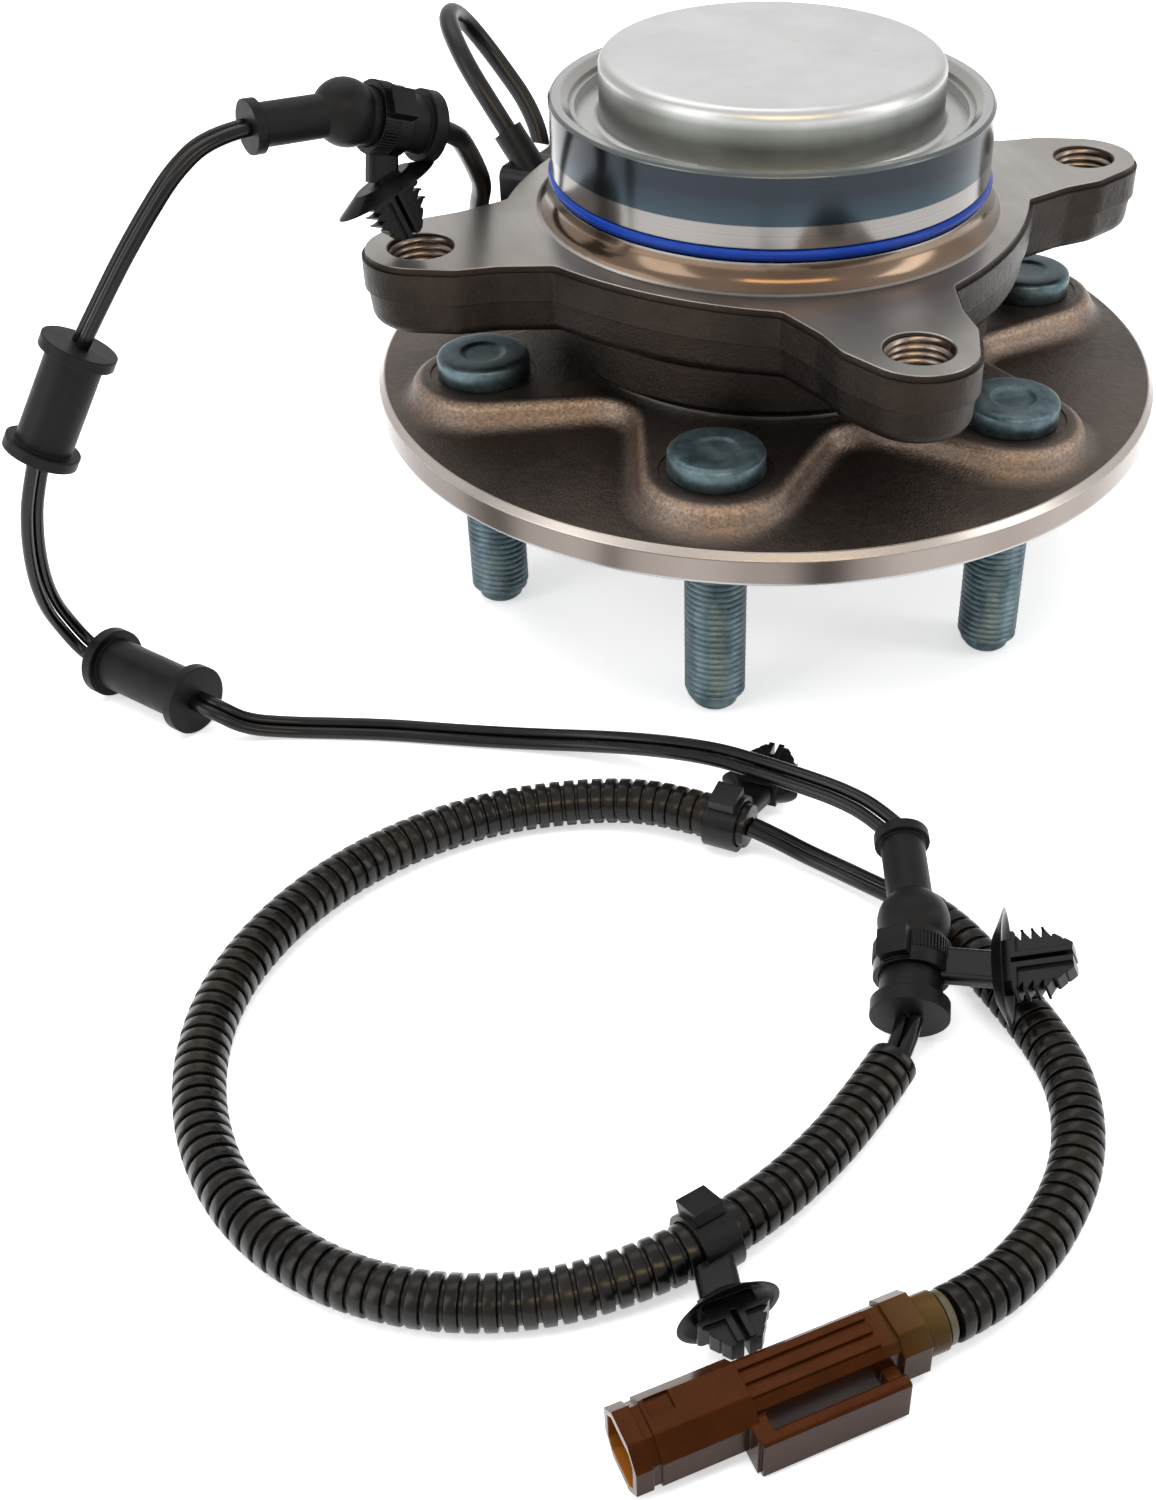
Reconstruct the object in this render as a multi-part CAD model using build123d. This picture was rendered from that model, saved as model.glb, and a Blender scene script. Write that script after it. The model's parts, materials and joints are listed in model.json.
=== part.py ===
"""Wheel hub bearing unit of a pickup's non-driven front wheel, with its speed sensor and harness.

Millimetres. The origin is on the spin axis in the plane of the wheel mounting face, and +Z points
inboard, towards the knuckle. The unit stands on its stud tips, so the ground is at -stud_reach,
and the harness lies on that ground or hangs from its own stiffness above it.
"""
import os
from math import acos, asin, atan2, cos, pi, radians, sin, sqrt, tan

from build123d import *

# ---------------------------------------------------------------- wheel side
stud_count = 6
stud_circle_r = 69.85        # circle of the wheel studs, 139.7 across
stud_r = 7.0                 # M14 x 1.5
stud_reach = 46.65           # from the mounting face to the stud tip
stud_tip_taper = 5.0
stud_tip_r = 5.3
knurl_r = 7.2
head_r = 10.6
head_height = 5.4
head_edge = 1.2
head_dimple_r = 5.0
head_dimple_depth = 0.5

flange_r = 93.25             # rim of the wheel flange
flange_rim = 5.85            # height of the turned rim band
flange_chamfer = 1.25
flange_rise = 1.5            # the forged back face climbs this much towards the hub
plateau_z = 13.5             # six-lobed plateau that carries the stud heads
lobe_tip_r = 15.5
lobe_flare = 13.2            # degrees that each lobe's flank opens inwards
lobe_valley_r = 10.6         # fillet between two lobes
lobe_slope = 27.0            # degrees of forging draft on the lobe's edge
lobe_top_round = 3.2
lobe_foot_round = 4.4
spot_face_r = 12.4
spot_face_depth = 0.3

wheel_pilot_r = 38.9
wheel_pilot_length = 10.5
wheel_recess_r = 31.5
web_bottom = 20.0
web_top = 38.0
hollow_r = 17.0

# ---------------------------------------------------------------- rolling elements
ball_r = 6.35
ball_count = 14
ball_circle_r = 38.0
row_outboard = 25.5
row_inboard = 53.5
contact_angle = radians(38)
conformity = 1.04            # groove radius over ball radius
race_gap = 0.12
cage_r_in = 36.6
cage_r_out = 39.5
cage_pocket_gap = 0.25
cage_mouth = 3.2             # how far the prongs reach past the ball centres
cage_back = 8.2

hub_land_r = 33.5            # hub between the rows, where the tone ring is pressed
hub_shoulder_r = 36.0
seal_land_r = 41.0
seal_land_top = 18.6
inner_seat_r = 26.0
inner_ring_z = 42.5
inner_ring_width = 21.0
rolled_r = 33.2
rolled_height = 6.2

slinger_sheet = 0.8
slinger_r = 46.9
slinger_sleeve_top = 18.2
seal_sheet = 0.8
seal_low = 17.6
seal_inner_r = 43.6
lip_gap = 0.3                # between the rubber lips and the slinger's sleeve

# ---------------------------------------------------------------- outer ring
ring_bottom = 17.0
ring_body_r = 52.5
flange_bottom = 29.5
flange_top = 45.4
parting_z = 37.5
trim_top = 44.1
trim_proud = 0.6             # the trimmed flash band stands this far out of the drafted walls
ring_land_r = 41.0           # between the two races
seal_bore_r = 46.5
seal_bore_top = 22.2

base_r = 60.6                # flange outline beside each ear
base_waist_r = 58.3          # and half way between two ears
ear_count = 4
ear_circle_r = 81.75
ear_tip_r = 12.4
ear_bore_r = 7.0             # M14 x 1.5
ear_chamfer = 0.6
ear_shoulder = (78.0, 15.3)
ear_neck = (69.0, 16.2)
ear_root = (57.2, 19.8)
shoulder_round = 7.0
neck_round = 10.0
root_round = 2.2
upper_draft = 8.0
lower_draft = 5.0
lower_round = 2.8

pilot_wall = 5.49            # from the balls to the pilot
pilot_r = ball_circle_r + ball_r + pilot_wall
relief_top = 50.5
relief_r = 53.5
o_ring_z = 52.7
o_ring_section = 1.3
o_ring_groove = 1.5
o_ring_squeeze = 0.65        # how far it stands out of the pilot
rim_top = 69.8
rim_outer_chamfer = 0.6
rim_inner_r = 47.4
cap_bore_r = 45.3
cap_clearance = 2.0          # between the dust cap and the inboard cage
cap_ledge = row_inboard + cage_back + cap_clearance
cap_lead = 1.5

# ---------------------------------------------------------------- dust cap
cap_wall_r = 38.5
cap_top = 78.5
cap_sheet = 1.3
cap_corner = 2.5
cap_foot = 1.3
cap_brim_height = 3.6

# ---------------------------------------------------------------- speed sensor
sensor_azimuth = 135.0
sensor_z = 37.4
sensor_bore_r = 5.25
sensor_nose_r = 5.1
sensor_gap = 0.8             # air gap to the tone ring
tone_r = 39.3
tone_width = 5.0
tone_teeth = 36
tone_slot = 3.0
tone_depth = 1.4
pad_r = 59.5                 # machined seat for the sensor on the flange edge
head_out_r = 67.6
lug_offset = 15.0
lug_thickness = 5.0
lug_r = 7.0
bush_r = 4.6
bush_proud = 0.2             # of the lug, so that the screw clamps the bush
screw_r = 3.0
screw_head_r = 5.6
screw_head_height = 4.5
screw_flange = 1.2
screw_fit = 0.05
sensor_seal_r = pad_r - 5.0  # where the nose carries its O-ring
sensor_seal_section = 0.9
pad_low = -lug_offset - lug_r
pad_head_half = 8.5
pad_height = 13.5
pad_depth = 9.2              # how far the pad reaches into the flange
pad_round = 3.0
head_half = 7.5
head_rise = 13.0
sensor_screw_depth = 12.0
collar_r = 3.7
collar_root = (-44.6, 42.8, 42.4)
collar_end = (-49.1, 47.4, 51.0)

# ---------------------------------------------------------------- harness
ground = -stud_reach
cable_r = 2.3                # jacketed two-core sensor cable
wire_r = 1.35                # each single wire
wire_spread = 1.45           # half the distance between two wires that lie side by side
conduit_r = 4.75
band_gap = 0.25              # clip band over a conduit's ridges
band_wall = 1.1
band_width = 7.0
seat_gap = 0.15              # clip band on a grommet's seat
neck_thickness = 3.6
latch_size = (5.6, 6.0, 2.4)
barb_pitch = 1.9
barb_root = 4.4              # half width of the peg between its barbs
barb_half = 6.2
barb_tip_half = 3.6
barb_swell = 1.3             # each barb is this much wider than the one nearer the tip
barb_thickness = 5.2
barb_edge = 0.5
barb_slot = 1.0
dish_depth = 2.4
dish_wall = 1.0

elbow_small_r = 5.5          # elbow grommets, where the harness leaves its brackets
elbow_small_width = 2.2
elbow_neck_r = 4.4
elbow_ball_r = 7.0
elbow_seat_r = 6.0
elbow_seat_share = 0.43
elbow_big_r = 7.5
elbow_big_width = 3.0
spool_r = 7.9                # straight grommets on the free run
spool_width = 2.5
spool_body_r = 6.0

conduit_lift = ground + conduit_r
clip_lift = ground + conduit_r + band_gap + band_wall

connector_at = (-62.0, -236.4)   # middle of the rear collar's end
connector_yaw = 5.0
plug_height = 6.4            # the plug's middle above the ground
plug_shroud = (54.0, 34.0, 12.5, 12.0)     # from and to along the plug, width, height
plug_body = (34.0, 6.0, 9.5, 9.5)
plug_chamfer = 3.2
plug_plate = (5.0, 11.6, 12.0, 2.6)        # end plate: length, width, top, chamfer
plug_rib = (1.4, 1.1, 2.6)                 # rib on the body: width, height, pitch
plug_bead = (4.2, 2.8, 0.4)                # groove round the mouth: from, to, depth
socket_size = (9.6, 8.6)
socket_low = 1.7
socket_depth = 17.0
plug_collar_r = 5.0
plug_seal_r = 4.0
plug_seal_in = 4.0
plug_seal_out = 2.0
rail_size = (24.0, 2.2, 8.5)
rail_gap = 2.6
rail_low = 0.5
pin_r = 0.5
pin_side = 1.8
pin_length = 9.0

cable_route = (
    collar_end, (-52.0, 50.4, 56.6), (-55.2, 55.6, 63.0), (-56.6, 62.5, 67.6), (-56.5, 70.5, 70.6),
    (-53.6, 78.3, 70.4), (-49.5, 83.6, 66.6), (-45.2, 84.6, 61.0), (-40.6, 81.0, 54.0), (-36.6, 75.8, 47.2),
    (-34.6, 71.3, 39.8), (-35.6, 67.6, 32.8), (-40.2, 63.6, 27.6), (-47.6, 58.6, 25.0), (-54.8, 51.2, 27.2),
    (-59.0, 42.4, 32.6), (-60.4, 34.0, 39.4), (-60.6, 27.6, 46.4), (-63.4, 21.4, 53.2), (-66.6, 15.4, 59.8),
    (-69.6, 10.0, 65.2), (-75.7, 8.0, 68.0))
elbow_1 = ((-115.3, -4.0, 76.5), (-94.4, 2.0, 75.2), (-75.7, 8.0, 68.0))
loop_route = (
    (-115.3, -4.0, 76.5), (-123.4, -6.3, 76.2), (-131.2, -8.2, 71.2), (-137.6, -9.6, 64.2),
    (-143.9, -10.4, 56.4), (-149.6, -10.6, 48.4), (-156.2, -10.0, 38.4))
spool_top = ((-156.2, -10.0, 38.4), (-169.1, -10.8, 15.7))
drop_route = (
    (-169.1, -10.8, 15.7), (-172.7, -10.6, 6.4), (-174.6, -9.4, -2.8), (-175.5, -7.8, -11.2),
    (-175.6, -6.0, -18.6), (-174.8, -4.2, -25.4), (-173.0, -2.6, -31.4), (-170.6, -3.4, -36.4),
    (-168.2, -5.8, ground + spool_r), (-165.4, -9.6, ground + spool_r))
spool_ground = ((-165.4, -9.6, ground + spool_r), (-148.5, -32.5, ground + spool_r))
floor_route = (
    (-148.5, -32.5, ground + spool_r), (-145.0, -37.2, ground + spool_r), (-139.4, -39.0, ground + 3.6),
    (-130.6, -40.4, ground + 1.5), (-120.0, -44.6, ground + 1.5), (-109.2, -49.0, ground + 1.5),
    (-98.0, -54.6, ground + 1.5), (-86.8, -60.3, ground + 1.7), (-76.4, -65.9, ground + 2.4),
    (-67.2, -72.3, ground + 4.2), (-59.4, -80.0, ground + 7.0), (-53.0, -88.6, ground + 10.4),
    (-47.2, -97.6, ground + 13.6), (-41.6, -107.0, ground + 15.8), (-36.0, -115.6, ground + 17.2),
    (-30.6, -123.4, ground + 18.0), (-26.6, -130.6, ground + 18.0), (-24.0, -138.1, ground + 17.0))
elbow_2 = ((-24.0, -138.1, ground + 17.0), (-30.4, -158.5, ground + 13.5), (-39.1, -176.5, ground + 8.2))
stub_route = (
    (-39.1, -176.5, ground + 8.2), (-41.4, -179.6, ground + 6.6), (-44.6, -182.4, ground + 4.75))
conduit_1_route = (
    (-44.6, -182.4, conduit_lift), (-54.5, -190.6, conduit_lift), (-67.5, -199.4, conduit_lift),
    (-82.0, -207.0, clip_lift), (-99.0, -211.6, clip_lift), (-119.0, -211.0, conduit_lift),
    (-137.5, -204.6, conduit_lift), (-152.3, -193.0, conduit_lift), (-161.8, -177.5, conduit_lift),
    (-165.6, -160.0, conduit_lift), (-164.2, -142.0, conduit_lift), (-157.9, -125.0, conduit_lift),
    (-146.4, -110.4, conduit_lift), (-131.0, -98.8, conduit_lift), (-113.0, -91.6, conduit_lift),
    (-95.0, -89.2, conduit_lift), (-78.0, -91.4, conduit_lift), (-64.6, -97.4, clip_lift),
    (-54.0, -106.2, clip_lift), (-46.2, -113.3, clip_lift))
link_route = (
    (-46.2, -113.3, clip_lift), (-42.0, -117.1, ground + 4.8), (-37.6, -122.0, ground + 3.4),
    (-32.6, -128.6, ground + 3.0), (-28.4, -136.0, ground + 3.6), (-25.4, -142.4, conduit_lift),
    (-23.0, -147.9, conduit_lift))
conduit_2_route = (
    (-23.0, -147.9, conduit_lift), (-20.4, -154.0, conduit_lift), (-18.6, -163.0, conduit_lift),
    (-17.2, -174.0, conduit_lift), (-16.2, -186.0, conduit_lift), (-16.6, -197.0, conduit_lift),
    (-20.4, -208.0, conduit_lift), (-26.8, -217.6, conduit_lift), (-35.4, -225.4, conduit_lift),
    (-42.95, -230.3, conduit_lift), (-51.5, -234.4, ground + 5.6), (-60.0, -236.23, ground + 6.4))


# ---------------------------------------------------------------- helpers
def turned(*edges):
    """Turn a closed outline, drawn as (radius, height), about the spin axis."""
    return revolve(Plane.XZ * make_face(Curve() + list(edges)), Axis.Z)


def turned_polygon(*points):
    return turned(Polyline(*points, close=True))


def polar(radius, azimuth, height=0.0):
    return Vector(radius * cos(radians(azimuth)), radius * sin(radians(azimuth)), height)


def rod(start, end, radius):
    """Round bar between two points."""
    start, end = Vector(*start), Vector(*end)
    span = end - start
    bar = Cylinder(radius, span.length, align=(Align.CENTER, Align.CENTER, Align.MIN))
    return Plane(origin=start, z_dir=span) * bar


def spool(start, end, stations):
    """Turned rubber piece from start to end, its outline given as (share of length, radius)."""
    start, end = Vector(*start), Vector(*end)
    length = (end - start).length
    outline = [(0, 0)] + [(radius, share * length) for share, radius in stations] + [(0, length)]
    body = revolve(Plane.XZ * make_face(Polyline(*outline, close=True)), Axis.Z)
    return Plane(origin=start, z_dir=end - start) * body


def beside(route, across, side):
    """Route of one wire of a pair, side away from the middle line; across starts the direction."""
    points = [Vector(*point) for point in route]
    across = Vector(*across)
    shifted = []
    for index, point in enumerate(points):
        before = points[max(index - 1, 0)]
        after = points[min(index + 1, len(points) - 1)]
        along = (after - before).normalized()
        across = (across - along * across.dot(along)).normalized()
        shifted.append(point + across * side)
    return shifted


def tube(name, route, radius):
    """A cord's plain tube: straight runs joined by the largest tangent arcs that they allow."""
    points = [Vector(*point) for point in route]
    runs = [b - a for a, b in zip(points, points[1:])]
    if len(runs) == 1:
        return rod(points[0], points[1], radius)
    radii = []
    for first, second in zip(runs, runs[1:]):
        turn = radians(first.get_angle(second))
        radii.append(0.45 * min(first.length, second.length) / tan(turn / 2))
    path = FilletPolyline(*points, radius=radii)
    solid = sweep(Plane(origin=points[0], z_dir=runs[0]) * Circle(radius), path=path)
    ideal = pi * radius**2 * path.length
    print(name, "length", round(path.length, 1), "tightest radius", round(min(radii), 1),
          "volume over section times length", round(solid.volume / ideal, 4))
    return solid


# ---------------------------------------------------------------- rolling elements and seals
def race_centre(row, side, towards_mid):
    """Centre and radius of a race groove: side is 1 in the outer ring and -1 on the hub."""
    groove = ball_r * conformity
    slack = groove - ball_r - race_gap
    lean = towards_mid * side
    return ball_circle_r - side * slack * cos(contact_angle), row - lean * slack * sin(contact_angle), groove


def groove_height(centre_r, groove, at_r):
    return sqrt(groove**2 - (at_r - centre_r) ** 2)


def row_of_balls(row):
    ball = Sphere(ball_r)
    return [Pos(*polar(ball_circle_r, step * 360 / ball_count, row)) * ball for step in range(ball_count)]


def cage(row, back):
    """Snap-in cage: a ring behind the balls with prongs between them; back is +1 or -1 along Z."""
    low, high = sorted((row - back * cage_mouth, row + back * cage_back))
    ring = turned_polygon((cage_r_in, low), (cage_r_out, low), (cage_r_out, high), (cage_r_in, high))
    pocket = Sphere(ball_r + cage_pocket_gap)
    for step in range(ball_count):
        ring -= Pos(*polar(ball_circle_r, step * 360 / ball_count, row)) * pocket
    return ring


def tone_ring():
    middle = sensor_z
    low, high = middle - tone_width / 2, middle + tone_width / 2
    ring = turned_polygon((hub_land_r, low), (tone_r, low), (tone_r, high), (hub_land_r, high))
    slot = Box(2 * tone_depth, tone_slot, tone_width + 1)
    for step in range(tone_teeth):
        angle = step * 360 / tone_teeth
        ring -= Pos(*polar(tone_r, angle, middle)) * Rot(0, 0, angle) * slot
    return ring


def slinger():
    sleeve = seal_land_r + slinger_sheet
    flat = plateau_z + slinger_sheet
    return turned_polygon((seal_land_r, plateau_z), (slinger_r, plateau_z), (slinger_r, flat), (sleeve, flat),
                          (sleeve, slinger_sleeve_top), (seal_land_r, slinger_sleeve_top))


def seal_case():
    wall = seal_bore_r - seal_sheet
    roof = seal_bore_top - seal_sheet
    return turned_polygon((wall, seal_low), (seal_bore_r, seal_low), (seal_bore_r, seal_bore_top),
                          (seal_inner_r, seal_bore_top), (seal_inner_r, roof), (wall, roof))


def seal_lip():
    """Rubber bonded in the case: two radial lips on the slinger's sleeve and one that leans down."""
    touch = seal_land_r + slinger_sheet + lip_gap
    root = seal_bore_r - seal_sheet
    top = seal_bore_top - seal_sheet
    return turned_polygon((root, top), (touch + 1.4, top), (touch, top - 1.6), (touch + 1.1, top - 1.9),
                          (touch + 0.9, top - 2.4), (touch, top - 3.1), (touch + 1.3, top - 3.2),
                          (touch + 1.9, seal_low + 0.2), (touch + 2.6, seal_low), (root, seal_low))


# ---------------------------------------------------------------- hub
def lobe_outline():
    """Six lobes, one round each stud, with fillets in the valleys between them."""
    flare = radians(lobe_flare)
    stud_at = stud_circle_r
    half = pi / stud_count
    # the flank is tangent to the lobe's tip and to the valley's fillet
    flank_turn = pi / 2 - flare
    tip_x = stud_at + lobe_tip_r * cos(flank_turn)
    tip_y = lobe_tip_r * sin(flank_turn)
    # crossing of the flank's line with the line half way to the next stud
    cross_x = (tip_y + tip_x * tan(flare)) / (tan(half) + tan(flare))
    corner = cross_x / cos(half)
    opening = half + flare
    reach = lobe_valley_r / tan(opening)
    centre = corner + lobe_valley_r / sin(opening)
    valley = centre - lobe_valley_r
    flank_x = cross_x + reach * cos(flare)
    flank_y = cross_x * tan(half) - reach * sin(flare)
    edges = []
    for step in range(stud_count):
        turn = Rot(0, 0, step * 360 / stud_count)
        edges.append(turn * ThreePointArc((tip_x, -tip_y), (stud_at + lobe_tip_r, 0), (tip_x, tip_y)))
        edges.append(turn * Line((tip_x, tip_y), (flank_x, flank_y)))
        next_x = flank_x * cos(2 * half) + flank_y * sin(2 * half)
        next_y = flank_x * sin(2 * half) - flank_y * cos(2 * half)
        edges.append(turn * ThreePointArc((flank_x, flank_y), (valley * cos(half), valley * sin(half)),
                                          (next_x, next_y)))
        edges.append(turn * Line((next_x, next_y), (tip_x * cos(2 * half) + tip_y * sin(2 * half),
                                                    tip_x * sin(2 * half) - tip_y * cos(2 * half))))
    return make_face(Curve() + edges)


def hub_disc():
    """Turned flange disc with its rim band, chamfer and gently rising back face."""
    top = flange_rim + flange_chamfer
    edge = flange_r - flange_chamfer
    return turned_polygon((wheel_recess_r, 0), (flange_r, 0), (flange_r, flange_rim), (edge, top),
                          (seal_land_r, top + flange_rise), (wheel_recess_r, top))


def hub_core():
    """Spindle with its races, the wheel pilot and the rolled end that holds the inner ring."""
    centre_r, centre_z, groove = race_centre(row_outboard, -1, 1)
    shoulder_z = centre_z - groove_height(centre_r, groove, hub_shoulder_r)
    land_z = centre_z + groove_height(centre_r, groove, hub_land_r)
    ring_end = inner_ring_z + inner_ring_width
    rolled_top = ring_end + rolled_height
    recess = wheel_recess_r
    edge = 1.5
    return turned(
        Polyline((0, web_bottom), (recess - 8, web_bottom), (recess - 2, web_bottom - 6),
                 (recess, edge - wheel_pilot_length), (recess + edge, -wheel_pilot_length),
                 (wheel_pilot_r - edge, -wheel_pilot_length), (wheel_pilot_r, edge - wheel_pilot_length),
                 (wheel_pilot_r, 0), (seal_land_r, 0), (seal_land_r, seal_land_top),
                 (hub_shoulder_r, seal_land_top), (hub_shoulder_r, shoulder_z)),
        ThreePointArc((hub_shoulder_r, shoulder_z), (centre_r - groove, centre_z), (hub_land_r, land_z)),
        Polyline((hub_land_r, land_z), (hub_land_r, inner_ring_z), (inner_seat_r, inner_ring_z),
                 (inner_seat_r, ring_end), (rolled_r, ring_end)),
        ThreePointArc((rolled_r, ring_end), (rolled_r - 0.6, ring_end + rolled_height * 0.62),
                      (rolled_r - 4.5, rolled_top)),
        Polyline((rolled_r - 4.5, rolled_top), (hollow_r + 5, rolled_top - 1), (hollow_r, rolled_top - 5),
                 (hollow_r, web_top + 5), (hollow_r - 5, web_top), (0, web_top), (0, web_bottom)))


def plateau_block():
    """Forged plateau whose edge slopes out towards the disc."""
    top = Plane(origin=(0, 0, plateau_z), z_dir=(0, 0, -1), x_dir=(1, 0, 0))
    return extrude(top * lobe_outline(), amount=plateau_z - flange_rim + 1, taper=-lobe_slope)


def outside(edges, low, high):
    """Edges whose middle lies between two heights and outside the seal land."""
    picked = []
    for edge in edges:
        middle = edge @ 0.5
        if low < middle.Z < high and seal_land_r + 1 < Vector(middle.X, middle.Y, 0).length < flange_r - 2:
            picked.append(edge)
    return picked


def wheel_hub():
    hub = hub_disc() + plateau_block()
    hub = fillet(outside(hub.edges(), flange_rim, plateau_z - 1), lobe_foot_round)
    hub = fillet(outside(hub.edges(), plateau_z - 0.1, plateau_z + 0.1), lobe_top_round)
    hub = hub + hub_core()
    for step in range(stud_count):
        at = polar(stud_circle_r, step * 360 / stud_count)
        hub -= Pos(at.X, at.Y, plateau_z) * Cylinder(spot_face_r, 2 * spot_face_depth)
        hub -= Pos(at.X, at.Y, plateau_z / 2) * Cylinder(knurl_r, plateau_z + 2)
    return hub


def inner_ring():
    centre_r, centre_z, groove = race_centre(row_inboard, -1, -1)
    land_z = centre_z - groove_height(centre_r, groove, hub_land_r)
    shoulder_z = centre_z + groove_height(centre_r, groove, hub_shoulder_r)
    end = inner_ring_z + inner_ring_width
    return turned(
        Polyline((inner_seat_r, end), (inner_seat_r, inner_ring_z), (hub_land_r, inner_ring_z),
                 (hub_land_r, land_z)),
        ThreePointArc((hub_land_r, land_z), (centre_r - groove, centre_z), (hub_shoulder_r, shoulder_z)),
        Polyline((hub_shoulder_r, shoulder_z), (hub_shoulder_r, end), (inner_seat_r, end)))


def wheel_stud():
    """Press-in stud, head inboard: knurl in the flange, thread below the mounting face."""
    seat = plateau_z - spot_face_depth
    top = seat + head_height
    bend = head_edge * 0.3
    dimple = top - head_dimple_depth
    return turned(
        Polyline((0, -stud_reach), (stud_tip_r, -stud_reach), (stud_r, stud_tip_taper - stud_reach),
                 (stud_r, 0), (knurl_r, 1), (knurl_r, seat), (head_r, seat), (head_r, top - head_edge)),
        ThreePointArc((head_r, top - head_edge), (head_r - bend, top - bend), (head_r - head_edge, top)),
        Polyline((head_r - head_edge, top), (head_dimple_r, top), (head_dimple_r - 1, dimple), (0, dimple),
                 (0, -stud_reach)))


# ---------------------------------------------------------------- outer ring
def flange_outline():
    """Mounting flange: four ears that widen to their necks, and shallow waists between them."""
    from_hole = Vector(ear_shoulder[0] - ear_circle_r, ear_shoulder[1], 0)
    touch = atan2(from_hole.Y, from_hole.X) - acos(ear_tip_r / from_hole.length)
    tip = (ear_circle_r + ear_tip_r * cos(touch), ear_tip_r * sin(touch))
    quarter = 360 / ear_count
    waist = polar(base_waist_r, quarter / 2)
    near_root = Vector(*ear_root, 0)
    far_root = Rot(0, 0, quarter) * Pos(near_root.X, -near_root.Y, 0)
    mirrored = [(x, -y) for x, y in (ear_root, ear_neck, ear_shoulder, tip)]
    edges = []
    for step in range(ear_count):
        turn = Rot(0, 0, step * quarter)
        edges.append(turn * ThreePointArc((tip[0], -tip[1]), (ear_circle_r + ear_tip_r, 0), tip))
        edges.append(turn * Polyline(tip, ear_shoulder, ear_neck, ear_root))
        edges.append(turn * ThreePointArc(near_root, waist, far_root.position))
        edges.append(turn * Rot(0, 0, quarter) * Polyline(*mirrored))
    face = make_face(Curve() + edges)
    for corner, size in ((ear_shoulder, shoulder_round), (ear_neck, neck_round), (ear_root, root_round)):
        reach = Vector(*corner, 0).length
        picked = [v for v in face.vertices() if abs(Vector(v.X, v.Y, 0).length - reach) < 0.01]
        face = fillet(picked, size)
    return face


def mounting_flange():
    """Forged flange: drafted walls above and below a trimmed flash band, rounded lower edge."""
    outline = flange_outline()
    band = extrude(Pos(0, 0, parting_z) * offset(outline, trim_proud), amount=trim_top - parting_z)
    upper = extrude(Pos(0, 0, trim_top - 1) * outline, amount=flange_top - trim_top + 1, taper=upper_draft)
    down = Plane(origin=(0, 0, parting_z + 1), z_dir=(0, 0, -1), x_dir=(1, 0, 0))
    lower = extrude(down * outline, amount=parting_z + 1 - flange_bottom, taper=lower_draft)
    rim = [edge for edge in lower.edges() if abs((edge @ 0.5).Z - flange_bottom) < 0.01]
    return fillet(rim, lower_round) + band + upper


def ring_blank():
    """Turned body: pilot with its O-ring groove and relief above the flange, seal end below it."""
    middle = (row_outboard + row_inboard) / 2
    centre_r, centre_z, groove = race_centre(row_outboard, 1, 1)
    land_low = centre_z + groove_height(centre_r, groove, ring_land_r)
    open_r = centre_r + groove
    belly = centre_r + groove * cos(contact_angle)
    lift = groove * sin(contact_angle)
    top_z = 2 * middle - centre_z
    land_high = 2 * middle - land_low
    relief_radius = ((relief_r - pilot_r) ** 2 + (relief_top - flange_top) ** 2) / (2 * (relief_r - pilot_r))
    half_turn = asin((relief_top - flange_top) / relief_radius) / 2
    relief_mid = (pilot_r + relief_radius * (1 - cos(half_turn)), relief_top - relief_radius * sin(half_turn))
    bottom_r = pilot_r - 2 * o_ring_section + o_ring_squeeze - 0.05
    groove_low = o_ring_z - o_ring_groove
    groove_high = o_ring_z + o_ring_groove
    inside = flange_top - 2
    return turned(
        Polyline((seal_bore_r, seal_bore_top), (seal_bore_r, ring_bottom), (ring_body_r - 1.5, ring_bottom),
                 (ring_body_r, ring_bottom + 1.5), (ring_body_r, flange_bottom - 2),
                 (ring_body_r + 2, flange_bottom), (ring_body_r + 2, inside), (relief_r, inside),
                 (relief_r, flange_top)),
        ThreePointArc((relief_r, flange_top), relief_mid, (pilot_r, relief_top)),
        Polyline((pilot_r, relief_top), (pilot_r, groove_low), (bottom_r, groove_low),
                 (bottom_r, groove_high), (pilot_r, groove_high),
                 (pilot_r, rim_top - rim_outer_chamfer), (pilot_r - rim_outer_chamfer, rim_top),
                 (rim_inner_r, rim_top), (cap_bore_r, rim_top - cap_lead), (cap_bore_r, cap_ledge),
                 (open_r, cap_ledge), (open_r, top_z)),
        ThreePointArc((open_r, top_z), (belly, top_z - lift), (ring_land_r, land_high)),
        Line((ring_land_r, land_high), (ring_land_r, land_low)),
        ThreePointArc((ring_land_r, land_low), (belly, centre_z + lift), (open_r, centre_z)),
        Polyline((open_r, centre_z), (open_r, seal_bore_top), (seal_bore_r, seal_bore_top)))


def sensor_frame():
    """Origin on the spin axis at the sensor's height, X out along the sensor, Z up."""
    return Plane(origin=(0, 0, sensor_z), x_dir=polar(1, sensor_azimuth), z_dir=(0, 0, 1))


def along_sensor(start, end, radius, side=0.0):
    """Cylinder on the sensor's radial direction, side along the flange edge."""
    return sensor_frame() * rod((start, side, 0), (end, side, 0), radius)


def sensor_pad():
    """Machined pad on the flange edge that the sensor's head and lug sit on."""
    block = Box(pad_depth, pad_head_half - pad_low, pad_height, align=(Align.MAX, Align.MIN, Align.CENTER))
    block = fillet(block.edges().filter_by(Axis.X), pad_round)
    return sensor_frame() * Pos(pad_r, pad_low, 0) * block


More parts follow.
